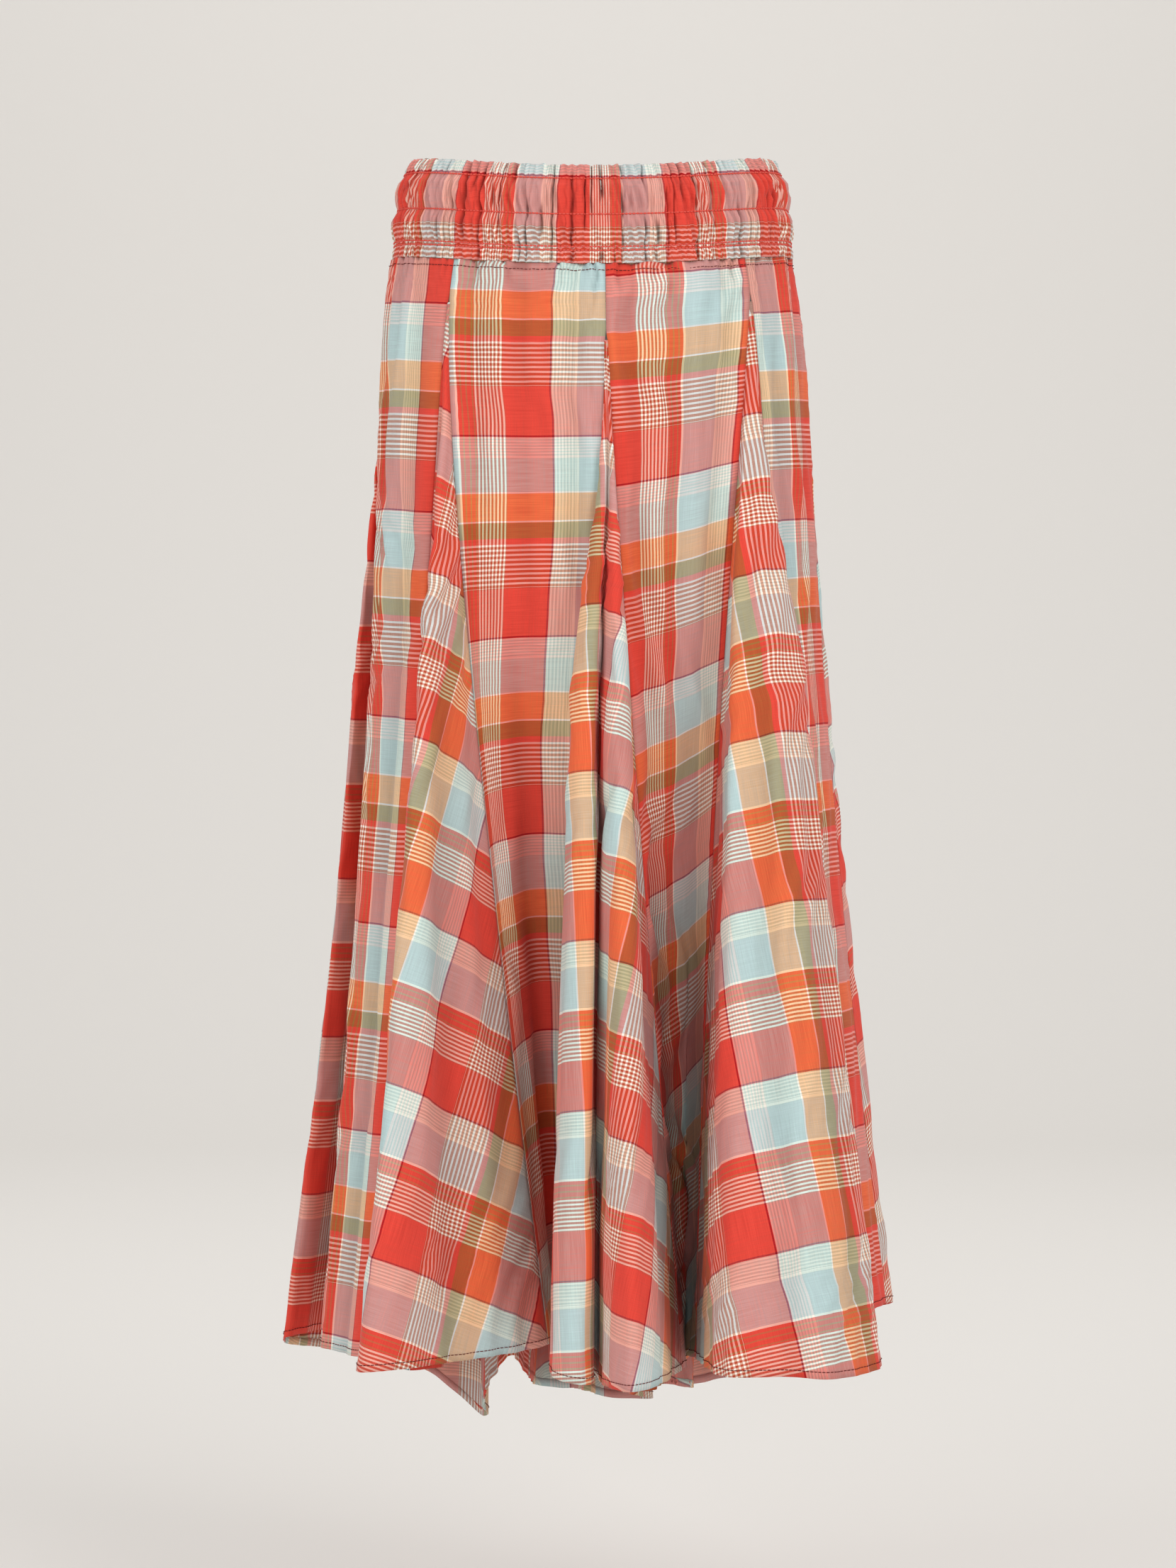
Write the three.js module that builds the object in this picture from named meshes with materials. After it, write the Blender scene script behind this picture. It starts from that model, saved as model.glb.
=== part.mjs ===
// Midi skirt in checked cotton: a gathered elastic waistband, eight straight panels and eight godets.
// Millimetres. +X is to the right as the front is seen, -Y is the front and +Z is up.
// The origin is the middle of the waistband, on its centre line.
import * as THREE from 'three';

// ---- Driving sizes -------------------------------------------------------------------------
const CLOTH_WALL = 1.1; // wall of the panels and godets
const SEAM_GAP = 0.3; // space left between two pieces that are sewn together
const WAIST_SEAM_Z = -35; // height of the waist seam at the sides and back
const FRONT_DIP = 14; // how far the waist sinks at the centre front
const WAIST_HALF_WIDTH = 141; // half the width at the waist seam
const WAIST_HALF_DEPTH = 100; // half the depth, front to back, at the waist seam
const HIP_WIDENING = { width: 10, depth: 8, reach: 0.06 }; // quick spread just below the seam
const HEM_FLARE = { width: 66, depth: 12, power: 1.5 }; // slow spread from the hip to the hem
const GODET_TIP_WIDTH = 2.5; // width of a godet at its sewn point
const FOLD_FADE = 0.35; // share of a godet's length over which its folds grow from nothing
const LOW_TIP = 0.07; // share of the skirt's length, from the waist, at which a shorter slit starts
const HIGH_TIP = 0.04; // the same for a longer slit

const GATHERS_PER_HALF = 72; // gathers in the front half of the waistband, and in the back half
const GATHER_UNEVENNESS = 0.3; // share by which one gather differs from the next
const SPACING_BEAT = 2.4; // turn in radians from one gather to the next of their uneven spacing
const HEIGHT_BEAT = 1.9; // the same for their uneven height
const BAND_WALL = 1.3; // from the bottom of a gather to the inside of the waistband

const CLOTH_RED = new THREE.Color(0.78, 0.28, 0.2);
const clothMaterial = () =>
  new THREE.MeshStandardMaterial({ color: CLOTH_RED, roughness: 0.9, metalness: 0 });

// Levels down the skirt at which a section is taken, 0 at the waist seam and 1 at the hem.
const LEVELS = [0, 0.034, HIGH_TIP, 0.064, LOW_TIP, 0.105, 0.15, 0.21, 0.29, 0.4, 0.54, 0.69, 0.84, 1];

// ---- Tables --------------------------------------------------------------------------------
// A row of a piece is one line of the cloth: a seam, a ridge or a valley of a fold.
// hemX, hemY and hemZ are where the line meets the hem. power says how soon it leaves the plain
// flared form: below 1 at once, above 1 late. A panel's line has its own angle round the waist,
// and all lines of a godet start at the godet's angle, with its two seams first and last.
const row = (hemX, hemY, hemZ, power, angle) => ({ hemX, hemY, hemZ, power, angle });

const godet = (name, angle, tip, lines) => ({ kind: 'godet', name, angle, tip, lines });
const panel = (name, lines) => ({ kind: 'panel', name, lines });

const PIECES = [
  godet('godet_side_left', -92, HIGH_TIP, [
    row(-190, 150, -822, 1),
    row(-222, 100, -812, 0.8),
    row(-219, 46, -800, 0.8),
    row(-172, 118, -800, 1),
    row(-183, 35, -799, 1),
  ]),
  panel('panel_side_left', [
    row(-191, -4, -799.5, 1, -78),
    row(-174, -34, -801, 1, -60),
  ]),
  godet('godet_front_left', -42.7, HIGH_TIP, [
    row(-158, -60, -800, 1),
    row(-104, -54, -795, 1),
    row(-158, -138, -798, 0.75),
    row(-154, -160, -797, 0.75),
    row(-136, -158, -796, 0.8),
    row(-90, -112, -796, 0.9),
    row(-31, -62, -791, 1.35),
  ]),
  panel('panel_front_left', [
    row(-24, -14, -788, 1.3, -19.6),
  ]),
  godet('godet_front_centre', 3.5, LOW_TIP, [
    row(0, -68, -800, 1),
    row(-29, -122, -800, 0.5),
    row(-20, -154, -804, 0.6),
    row(-5, -158, -806, 0.7),
    row(1, -116, -806, 0.75),
    row(12, -166, -807, 0.75),
    row(26, -182, -807, 0.75),
    row(39, -170, -806, 0.7),
    row(61, -81, -805, 1.1),
  ]),
  panel('panel_front_right', [
    row(66, -28, -804, 1.3, 25.9),
  ]),
  godet('godet_front_right', 48.3, HIGH_TIP, [
    row(71, -80, -798, 0.95),
    row(91, -183, -797, 0.85),
    row(129, -188, -796, 0.8),
    row(157, -186, -798, 0.7),
    row(195, -128, -797, 0.5),
    row(150, -82, -795, 1),
    row(178, -22, -785, 1),
  ]),
  panel('panel_side_right', [
    row(199, 30, -780, 1, 70),
  ]),
  godet('godet_side_right', 93, HIGH_TIP, [
    row(212, 74, -779, 1),
    row(218, 98, -782, 1),
    row(148, 100, -800, 1),
    row(206, 136, -808, 0.9),
    row(200, 162, -812, 0.9),
    row(168, 152, -820, 1),
  ]),
  panel('panel_back_side_right', [
    row(140, 122, -820, 1.2, 115),
  ]),
  godet('godet_back_right', 138, LOW_TIP, [
    row(104, 88, -830, 1),
    row(128, 196, -845, 0.8),
    row(104, 206, -850, 0.8),
    row(76, 196, -855, 0.8),
    row(70, 110, -845, 1),
    row(52, 92, -840, 1),
  ]),
  panel('panel_back_right', [
    row(44, 60, -840, 1.3, 160),
  ]),
  godet('godet_back_centre', 183.5, LOW_TIP, [
    row(22, 118, -850, 1),
    row(44, 184, -864, 0.8),
    row(14, 204, -866, 0.8),
    row(-4, 128, -850, 1),
    row(-18, 200, -858, 0.8),
    row(-38, 194, -856, 0.8),
    row(-46, 118, -838, 1),
  ]),
  panel('panel_back_left', [
    row(-60, 58, -815, 1.3, 206),
  ]),
  godet('godet_back_left', 228, LOW_TIP, [
    row(-78, 96, -845, 1),
    row(-84, 192, -876, 0.8),
    row(-118, 200, -849, 0.8),
    row(-146, 178, -832, 0.8),
    row(-112, 112, -830, 1),
    row(-132, 92, -830, 1),
  ]),
  panel('panel_back_side_left', [
    row(-146, 134, -828, 1.2, 248),
  ]),
];

// Rows of the waistband from the top down: height, half width and how far its gathers stand out.
const bandRow = (z, halfWidth, gather) => ({ z, halfWidth, gather });
const BAND_ROWS = [
  bandRow(35, 126.5, 1.5), // frilled top edge
  bandRow(29, 131, 1.3), // header
  bandRow(23.5, 132.5, 0.4), // first gathering row
  bandRow(12, 137.5, 1.5), // puff over the elastic
  bandRow(-1, 137.5, 0.4), // second gathering row
  bandRow(-12, 140.5, 1.4), // puff over the elastic
  bandRow(-25, 139.5, 0.4), // the close pair of gathering rows
  bandRow(WAIST_SEAM_Z + SEAM_GAP / 2, WAIST_HALF_WIDTH, 0.6), // waist seam
];
const BAND_LINING_ROWS = [0, 2, 4, 7]; // the rows that the smooth inside follows

// ---- Plain flared form ---------------------------------------------------------------------
const radians = THREE.MathUtils.degToRad;

// An ellipse at each level: it spreads fast over the hip, then slowly down to the hem.
function flaredForm(angle, level) {
  const hip = 1 - Math.exp(-level / HIP_WIDENING.reach);
  const flare = level ** HEM_FLARE.power;
  const halfWidth = WAIST_HALF_WIDTH + HIP_WIDENING.width * hip + HEM_FLARE.width * flare;
  const halfDepth = WAIST_HALF_DEPTH + HIP_WIDENING.depth * hip + HEM_FLARE.depth * flare;
  return new THREE.Vector2(halfWidth * Math.sin(angle), -halfDepth * Math.cos(angle));
}

// The waist sinks towards the centre front and is level from side to side across the back.
function waistDip(angle) {
  return -FRONT_DIP * Math.max(0, Math.cos(angle)) ** 2;
}

// ---- Lines of the cloth --------------------------------------------------------------------
function lineHeight(angle, hemZ, level) {
  const top = WAIST_SEAM_Z - SEAM_GAP / 2 + waistDip(angle);
  return top + level * (hemZ - top);
}

// A line starts on the flared form and reaches its own place at the hem; progress runs 0 to 1.
function linePoint(line, angle, level, progress) {
  const form = flaredForm(angle, level);
  const hemForm = flaredForm(angle, 1);
  const share = progress ** line.power;
  return new THREE.Vector3(
    form.x + (line.hemX - hemForm.x) * share,
    form.y + (line.hemY - hemForm.y) * share,
    lineHeight(angle, line.hemZ, level),
  );
}

function panelControls(piece, level) {
  return piece.lines.map((line) => linePoint(line, radians(line.angle), level, level));
}

// Above a godet's tip its two seams are one point. Below, they part, and the folds between them
// grow out of the flat strip of cloth that joins the seams.
function godetControls(piece, level) {
  const angle = radians(piece.angle);
  const first = piece.lines[0];
  const last = piece.lines[piece.lines.length - 1];
  if (level < piece.tip) {
    const form = flaredForm(angle, level);
    const height = lineHeight(angle, (first.hemZ + last.hemZ) / 2, level);
    return [new THREE.Vector3(form.x, form.y, height)];
  }
  const progress = (level - piece.tip) / (1 - piece.tip);
  const points = piece.lines.map((line) => linePoint(line, angle, level, progress));
  const along = new THREE.Vector3(Math.cos(angle), Math.sin(angle), 0);
  const start = points[0].addScaledVector(along, -GODET_TIP_WIDTH / 2);
  const end = points[points.length - 1].addScaledVector(along, GODET_TIP_WIDTH / 2);
  const grown = THREE.MathUtils.smoothstep(progress, 0, FOLD_FADE);
  for (let i = 1; i < points.length - 1; i += 1) {
    const strip = start.clone().lerp(end, i / (points.length - 1));
    points[i] = strip.lerp(points[i], grown);
  }
  return points;
}

// ---- Sections ------------------------------------------------------------------------------
const CURVE_STEPS = 2; // steps on each stretch between two lines
const LONG_CURVE_STEPS = 3; // steps on a stretch that is wide at the hem
const WIDE_STRETCH = 70;

// Steps on each stretch of a piece, the same at every level, so that its grid is regular.
function stretchSteps(piece, hemPoints) {
  if (piece.kind === 'panel') return hemPoints.slice(1).map(() => CURVE_STEPS);
  return hemPoints.slice(1).map((point, i) =>
    (point.distanceTo(hemPoints[i]) > WIDE_STRETCH ? LONG_CURVE_STEPS : CURVE_STEPS));
}

// One point of a centripetal Catmull-Rom curve between b and c; u runs 0 to 1.
function curvePoint(a, b, c, d, u) {
  const gap = (p, q) => Math.sqrt(Math.max(Math.hypot(p.x - q.x, p.y - q.y), 1e-6));
  const tb = gap(a, b);
  const tc = tb + gap(b, c);
  const td = tc + gap(c, d);
  const t = tb + (tc - tb) * u;
  const mix = (p, q, from, to) => p.clone().lerp(q, (t - from) / (to - from));
  const ab = mix(a, b, 0, tb);
  const bc = mix(b, c, tb, tc);
  const cd = mix(c, d, tc, td);
  return mix(mix(ab, bc, 0, tc), mix(bc, cd, tb, td), tb, tc);
}

// All lines of the skirt at one level, in order round the body, each with the piece it is in.
function ringControls(level) {
  return PIECES.flatMap((piece, index) => {
    const points = piece.kind === 'godet' ? godetControls(piece, level) : panelControls(piece, level);
    return points.map((point, line) => ({ point, index, line, merged: points.length === 1 }));
  });
}

const HEM_CONTROLS = ringControls(1);

// The controls that bound a piece: its own, and for a panel the neighbouring godets' seams too.
function pieceSpan(controls, index) {
  const own = controls.map((control, i) => (control.index === index ? i : -1)).filter((i) => i >= 0);
  const count = controls.length;
  if (PIECES[index].kind === 'godet') return own;
  return [(own[0] - 1 + count) % count, ...own, (own[own.length - 1] + 1) % count];
}

const PIECE_STEPS = PIECES.map((piece, index) =>
  stretchSteps(piece, pieceSpan(HEM_CONTROLS, index).map((i) => HEM_CONTROLS[i].point)));

// Steps between control i and the next one, from the piece that lies between them.
function stepsAfter(controls, i) {
  const control = controls[i];
  const piece = PIECES[control.index];
  const isLastOfGodet = piece.kind === 'godet' && (control.merged || control.line === piece.lines.length - 1);
  if (isLastOfGodet) return PIECE_STEPS[(control.index + 1) % PIECES.length][0];
  return PIECE_STEPS[control.index][piece.kind === 'godet' ? control.line : control.line + 1];
}

// Normals in plan, smoothed over a few millimetres so that the wall stays whole in tight folds.
const SMOOTHING_REACH = 4;
const SMOOTHING_PASSES = 4;
function outwardNormals(points) {
  const count = points.length;
  const at = (list, i) => list[(i + count) % count];
  let normals = points.map((_, i) => {
    const along = at(points, i + 1).clone().sub(at(points, i - 1));
    return new THREE.Vector2(along.y, -along.x).normalize();
  });
  const weights = points.map((point, i) => {
    const gap = Math.hypot(at(points, i + 1).x - point.x, at(points, i + 1).y - point.y);
    return Math.exp(-((gap / SMOOTHING_REACH) ** 2));
  });
  for (let pass = 0; pass < SMOOTHING_PASSES; pass += 1) {
    const before = normals;
    normals = before.map((normal, i) =>
      normal.clone()
        .addScaledVector(at(before, i + 1), weights[i])
        .addScaledVector(at(before, i - 1), at(weights, i - 1))
        .normalize());
  }
  return normals;
}

// The closed section at one level: points, normals, and where each control lies in the list.
function ringSection(level) {
  const controls = ringControls(level);
  const count = controls.length;
  const at = (i) => controls[(i + count) % count].point;
  const points = [];
  const starts = [];
  for (let i = 0; i < count; i += 1) {
    starts.push(points.length);
    const steps = stepsAfter(controls, i);
    for (let step = 0; step < steps; step += 1) {
      points.push(curvePoint(at(i - 1), at(i), at(i + 1), at(i + 2), step / steps));
    }
  }
  return { level, controls, points, starts, normals: outwardNormals(points) };
}

const SECTIONS = LEVELS.map(ringSection);

// A piece's stretch of one section, drawn in at both ends to leave the seam gap.
function pieceRow(section, index) {
  const span = pieceSpan(section.controls, index);
  const total = section.points.length;
  const first = section.starts[span[0]];
  const last = section.starts[span[span.length - 1]];
  const length = (last - first + total) % total;
  const ids = Array.from({ length: length + 1 }, (_, k) => (first + k) % total);
  const outer = ids.map((id) => section.points[id].clone());
  const inner = ids.map((id) => {
    const normal = section.normals[id];
    const inwards = new THREE.Vector3(-normal.x, -normal.y, 0);
    return section.points[id].clone().addScaledVector(inwards, CLOTH_WALL);
  });
  const trim = SEAM_GAP / 2;
  [[0, 1], [ids.length - 1, -1]].forEach(([end, sign]) => {
    const normal = section.normals[ids[end]];
    const shift = new THREE.Vector3(-normal.y, normal.x, 0).multiplyScalar(sign * trim);
    outer[end].add(shift);
    inner[end].add(shift);
  });
  return { outer, inner };
}

// ---- Closed walls --------------------------------------------------------------------------
// A wall from two grids of points, outer and inner, each a list of rows from the top down.
// Both grids have the same columns; the inner one may have fewer rows.
function wallGeometry(outerRows, innerRows) {
  const positions = [];
  const keep = (rows) => rows.map((points) => points.map((point) => {
    positions.push(point.x, point.y, point.z);
    return positions.length / 3 - 1;
  }));
  const outer = keep(outerRows);
  const inner = keep(innerRows);
  const faces = [];
  const face = (a, b, c) => {
    if (a !== b && b !== c && c !== a) faces.push(a, b, c);
  };
  const sheet = (grid, flip) => {
    for (let r = 0; r + 1 < grid.length; r += 1) {
      for (let c = 0; c + 1 < grid[r].length; c += 1) {
        const [a, b, d, e] = [grid[r][c], grid[r][c + 1], grid[r + 1][c], grid[r + 1][c + 1]];
        if (flip) {
          face(a, b, e);
          face(a, e, d);
        } else {
          face(a, e, b);
          face(a, d, e);
        }
      }
    }
  };
  // Joins two lists of indices that run the same way, stepping along whichever is behind.
  const strip = (from, to, flip) => {
    const add = (a, b, c) => (flip ? face(a, c, b) : face(a, b, c));
    let i = 0;
    let j = 0;
    while (i + 1 < from.length || j + 1 < to.length) {
      const stepFrom = j + 1 >= to.length || (i + 1 < from.length
        && (i + 1) / (from.length - 1) <= (j + 1) / (to.length - 1));
      if (stepFrom) {
        add(from[i], from[i + 1], to[j]);
        i += 1;
      } else {
        add(from[i], to[j + 1], to[j]);
        j += 1;
      }
    }
  };
  const column = (grid, c) => grid.map((points) => points[c < 0 ? points.length + c : c]);
  sheet(outer, false);
  sheet(inner, true);
  strip(inner[0], outer[0], true);
  strip(inner[inner.length - 1], outer[outer.length - 1], false);
  // Both side edges are split along the same diagonals, so neighbours stay parallel at a seam.
  strip(column(inner, 0), column(outer, 0), false);
  strip(column(inner, -1), column(outer, -1), true);
  const geometry = new THREE.BufferGeometry();
  geometry.setAttribute('position', new THREE.Float32BufferAttribute(positions, 3));
  geometry.setIndex(faces);
  geometry.computeVertexNormals();
  return geometry;
}

function namedMesh(name, geometry) {
  const mesh = new THREE.Mesh(geometry, clothMaterial());
  mesh.name = name;
  return mesh;
}

// ---- Panels and godets ---------------------------------------------------------------------
function makeSkirtPiece(piece, index) {
  const top = piece.kind === 'panel' ? 0 : piece.tip;
  const sections = SECTIONS.filter((section) => section.level >= top);
  const rows = sections.map((section) => pieceRow(section, index));
  return namedMesh(piece.name, wallGeometry(rows.map((r) => r.outer), rows.map((r) => r.inner)));
}

// ---- Waistband -----------------------------------------------------------------------------
// Each gather is a ridge between two grooves; ridges differ a little in height and spacing.
function bandPoint(bandLevel, angle, standOut) {
  const halfWidth = bandLevel.halfWidth + standOut;
  const halfDepth = halfWidth - (WAIST_HALF_WIDTH - WAIST_HALF_DEPTH);
  const z = bandLevel.z + waistDip(angle);
  return new THREE.Vector3(halfWidth * Math.sin(angle), -halfDepth * Math.cos(angle), z);
}

function makeWaistband(name, middleAngle) {
  const columns = 2 * GATHERS_PER_HALF;
  const trimAngle = SEAM_GAP / 2 / WAIST_HALF_DEPTH;
  const span = Math.PI - 2 * trimAngle;
  const angles = Array.from({ length: columns + 1 }, (_, k) => {
    const drift = k === 0 || k === columns ? 0 : (GATHER_UNEVENNESS / 2) * Math.sin(SPACING_BEAT * k);
    return middleAngle - span / 2 + (span * (k + drift)) / columns;
  });
  const unevenRise = (k, r) => 1 - (GATHER_UNEVENNESS / 2) * (1 + Math.sin(HEIGHT_BEAT * k + r));
  const ridge = (k, r) => (k % 2 === 0 ? 0 : unevenRise(k, r));
  const outer = BAND_ROWS.map((bandLevel, r) =>
    angles.map((angle, k) => bandPoint(bandLevel, angle, bandLevel.gather * ridge(k, r))));
  const inner = BAND_LINING_ROWS.map((r) =>
    angles.map((angle) => bandPoint(BAND_ROWS[r], angle, -BAND_WALL)));
  return namedMesh(name, wallGeometry(outer, inner));
}

// ---- The skirt -----------------------------------------------------------------------------
const skirt = new THREE.Group();
skirt.name = 'midi_skirt';
skirt.add(makeWaistband('waistband_front', 0));
skirt.add(makeWaistband('waistband_back', Math.PI));
PIECES.forEach((piece, index) => skirt.add(makeSkirtPiece(piece, index)));

export default skirt;
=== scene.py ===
"""Midi skirt in checked cotton: a gathered waistband over eight panels and eight godets.

Sizes are in millimetres until a mesh is made. +X is to the right as the front is seen, -Y is the
front and +Z is up. The origin is the middle of the waistband, on its centre line.
"""

import logging
import math
from dataclasses import dataclass, field
from enum import Enum, IntEnum
from typing import ClassVar

import bpy
import numpy as np
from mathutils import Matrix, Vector

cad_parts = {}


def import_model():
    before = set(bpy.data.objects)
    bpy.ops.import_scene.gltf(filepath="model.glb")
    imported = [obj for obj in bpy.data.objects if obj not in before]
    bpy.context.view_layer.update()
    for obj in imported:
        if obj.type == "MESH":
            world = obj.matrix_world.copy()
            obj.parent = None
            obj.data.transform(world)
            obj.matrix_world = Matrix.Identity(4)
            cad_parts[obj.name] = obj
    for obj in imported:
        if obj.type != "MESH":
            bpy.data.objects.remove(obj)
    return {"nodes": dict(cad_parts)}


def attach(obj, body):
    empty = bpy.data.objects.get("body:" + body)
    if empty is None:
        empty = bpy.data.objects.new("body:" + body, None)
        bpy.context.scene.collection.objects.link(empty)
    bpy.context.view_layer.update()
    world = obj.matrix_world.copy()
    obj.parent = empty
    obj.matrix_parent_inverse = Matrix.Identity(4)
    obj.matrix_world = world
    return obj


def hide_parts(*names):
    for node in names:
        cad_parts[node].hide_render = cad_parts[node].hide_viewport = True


Value = float | np.ndarray

LOG = logging.getLogger("midi_skirt")
MM = 0.001
CHECK_MAP = "check"  # UV map that holds each point's place in the flat cloth, in metres
SHADE_ATTRIBUTE = "painted_shade"  # attribute of painted shade, 0 to 1, that darkens the colour in creases, grooves and along seams
TINY = 1e-9  # keeps a division from one by nothing
TINY_WIDTH = 1e-6  # the same for widths and gaps in millimetres


class Slot(Enum):
    """Material slots, each named in the log with its piece."""

    WAISTBAND = "waistband_cloth"
    PANEL = "panel_cloth"
    GODET = "godet_cloth"
    THREAD = "sewing_thread"


class Seed(IntEnum):
    """Seeds of the skirt's wandering values, to which a piece's number is added."""

    GATHER_SHIFT = 5
    PUCKER = 11
    RIPPLE = 40
    RIPPLE_DRIFT = 70
    GATHER = 90


# ---- Small numeric helpers ------------------------------------------------------------------
def smooth_ramp(x: Value, low: float, high: float) -> np.ndarray:
    """S-shaped ramp from 0 at low to 1 at high, flat at both ends."""
    t = np.clip((np.asarray(x, float) - low) / (high - low), 0.0, 1.0)
    return t * t * (3.0 - 2.0 * t)


def hump(x: Value, middle: float, half_width: float) -> np.ndarray:
    """Bell of height 1 at middle that falls to about a third at half_width."""
    return np.exp(-(((x - middle) / half_width) ** 2))


def run_length(points: np.ndarray, axis: int) -> np.ndarray:
    """Length along the grid lines of one axis, from 0 at their first point.

    Args:
        points: Grid of places, shaped (rows, columns, 3).
        axis: 0 to measure down the columns, 1 along the rows.

    Returns:
        Lengths shaped (rows, columns).
    """
    steps = np.linalg.norm(np.diff(points, axis=axis), axis=2)
    pad = [(0, 0), (0, 0)]
    pad[axis] = (1, 0)
    return np.pad(np.cumsum(steps, axis=axis), pad)


def grid_normals(points: np.ndarray) -> np.ndarray:
    """Unit normals of a grid whose columns run rightwards and rows downwards, facing outwards.

    Args:
        points: Grid of places, shaped (rows, columns, 3).

    Returns:
        Normals, shaped like the points.
    """
    down = np.gradient(points, axis=0)
    across = np.gradient(points, axis=1)
    normal = np.cross(down, across)
    length = np.linalg.norm(normal, axis=2, keepdims=True)
    return normal / np.maximum(length, TINY)


def wander(x: Value, seed: int, terms: int = 5, reach: float = 1.0) -> np.ndarray:
    """Smooth wandering value of about -1 to 1: a sum of sines whose periods are unrelated.

    Args:
        x: Where to read it, in units of its usual wave.
        seed: Picks the phases.
        terms: How many sines.
        reach: Spread of their frequencies.

    Returns:
        Values shaped like x.
    """
    slowest = 0.45
    rng = np.random.default_rng(seed)
    freq = rng.uniform(slowest, 1.0 + reach, terms)
    phase = rng.uniform(0.0, 2.0 * np.pi, terms)
    total = sum(np.sin(f * 2.0 * np.pi * x + p) for f, p in zip(freq, phase))
    return total / math.sqrt(terms)


# ---- Meshes ---------------------------------------------------------------------------------
@dataclass
class Grid:
    """A sheet as a grid of places with, at each, its place in the flat cloth.

    Attributes:
        points: Places in millimetres, shaped (rows, columns, 3), rows from the top down.
        flat: Places in the flat cloth in millimetres, shaped (rows, columns, 2).
        painted_shade: Painted shade at each point, 0 to 1, shaped (rows, columns).
    """

    points: np.ndarray
    flat: np.ndarray
    painted_shade: np.ndarray

    def area(self) -> float:
        """Area of the sheet, from the two triangles of each of its quads.

        Returns:
            The area in square metres.
        """
        p = self.points * MM
        a, b, c, d = p[:-1, :-1], p[:-1, 1:], p[1:, 1:], p[1:, :-1]
        first = np.linalg.norm(np.cross(b - a, c - a), axis=2)
        second = np.linalg.norm(np.cross(c - a, d - a), axis=2)
        return float((first + second).sum() / 2.0)

    def to_object(self, name: str, thickness: float, material: bpy.types.Material) -> bpy.types.Object:
        """Makes the sheet an object with a thin wall inwards.

        Args:
            name: The object's name.
            thickness: Wall in millimetres, laid on the inside.
            material: Its finish.

        Returns:
            The new object.
        """
        rows, cols = self.points.shape[:2]
        index = np.arange(rows * cols).reshape(rows, cols)
        quads = np.stack([index[:-1, :-1], index[1:, :-1], index[1:, 1:], index[:-1, 1:]], axis=2)
        quads = quads.reshape(-1, 4)
        obj = mesh_object(name, self.points.reshape(-1, 3) * MM, quads, material)
        uv = obj.data.uv_layers.new(name=CHECK_MAP)
        corners = self.flat.reshape(-1, 2)[quads.reshape(-1)] * MM
        uv.data.foreach_set("uv", corners.astype(np.float32).reshape(-1))
        # Painted shade per point, which the material darkens the colour by.
        shade_layer = obj.data.attributes.new(SHADE_ATTRIBUTE, "FLOAT", "POINT")
        shade_layer.data.foreach_set("value", np.clip(self.painted_shade, 0.0, 1.0).astype(np.float32).reshape(-1))
        wall = obj.modifiers.new("wall", "SOLIDIFY")
        wall.thickness = thickness * MM
        wall.offset = -1.0
        wall.use_even_offset = False
        return obj


def mesh_object(
    name: str, vertices: np.ndarray, faces: np.ndarray, material: bpy.types.Material
) -> bpy.types.Object:
    """Makes a smooth-shaded mesh object at the origin.

    Args:
        name: The object's name.
        vertices: Places in metres, shaped (n, 3).
        faces: Vertex numbers, shaped (m, 3) or (m, 4).
        material: Its finish.

    Returns:
        The new object.
    """
    mesh = bpy.data.meshes.new(name)
    count, corners = faces.shape
    mesh.vertices.add(len(vertices))
    mesh.vertices.foreach_set("co", np.ascontiguousarray(vertices, np.float32).reshape(-1))
    mesh.loops.add(count * corners)
    mesh.loops.foreach_set("vertex_index", faces.astype(np.int32).reshape(-1))
    mesh.polygons.add(count)
    mesh.polygons.foreach_set("loop_start", np.arange(0, count * corners, corners, dtype=np.int32))
    mesh.polygons.foreach_set("use_smooth", np.ones(count, dtype=bool))
    mesh.update(calc_edges=True)
    mesh.validate()
    mesh.materials.append(material)
    obj = bpy.data.objects.new(name, mesh)
    bpy.context.scene.collection.objects.link(obj)
    return obj


# ---- The plain flared form ------------------------------------------------------------------
@dataclass(frozen=True)
class FlaredForm:
    """Ellipse at each level, 0 at the waist seam and 1 at the hem, on which the cloth hangs.

    Attributes:
        half_width, half_depth: Half its axes at the waist seam, in millimetres.
        hip_width, hip_depth: How much both grow over the hip.
        hip_reach: Level at which about two thirds of that growth are done.
        hem_width, hem_depth: How much both grow on the way to the hem.
        hem_power: How late that growth comes, even at 1.
        seam_height: Height of the waist seam at the sides.
        front_dip: How far the waist sinks at the centre front.
    """

    half_width: float = 141.0
    half_depth: float = 100.0
    hip_width: float = 10.0
    hip_depth: float = 8.0
    hip_reach: float = 0.06
    hem_width: float = 66.0
    hem_depth: float = 12.0
    hem_power: float = 1.5
    seam_height: float = -35.15
    front_dip: float = 14.0

    def place(self, angle: Value, level: Value) -> np.ndarray:
        """Place on the form in plan; the spread is fast over the hip, then slow to the hem.

        Args:
            angle: Angle round the waist in radians, 0 at the front and growing to the right.
            level: Level down the skirt.

        Returns:
            x and y, stacked in the last axis.
        """
        hip = 1.0 - np.exp(-level / self.hip_reach)
        flare = np.power(level, self.hem_power)
        wide = self.half_width + self.hip_width * hip + self.hem_width * flare
        deep = self.half_depth + self.hip_depth * hip + self.hem_depth * flare
        return np.stack([wide * np.sin(angle), -deep * np.cos(angle)], axis=-1)

    def dip(self, angle: Value) -> np.ndarray:
        """How far the waist sinks at an angle: a squared cosine over the front half."""
        return -self.front_dip * np.maximum(0.0, np.cos(angle)) ** 2

    def height(self, angle: Value, hem_height: float, level: Value) -> np.ndarray:
        """Height of a line of cloth: straight from the waist seam to its place at the hem."""
        top = self.seam_height + self.dip(angle)
        return top + level * (hem_height - top)


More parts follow.
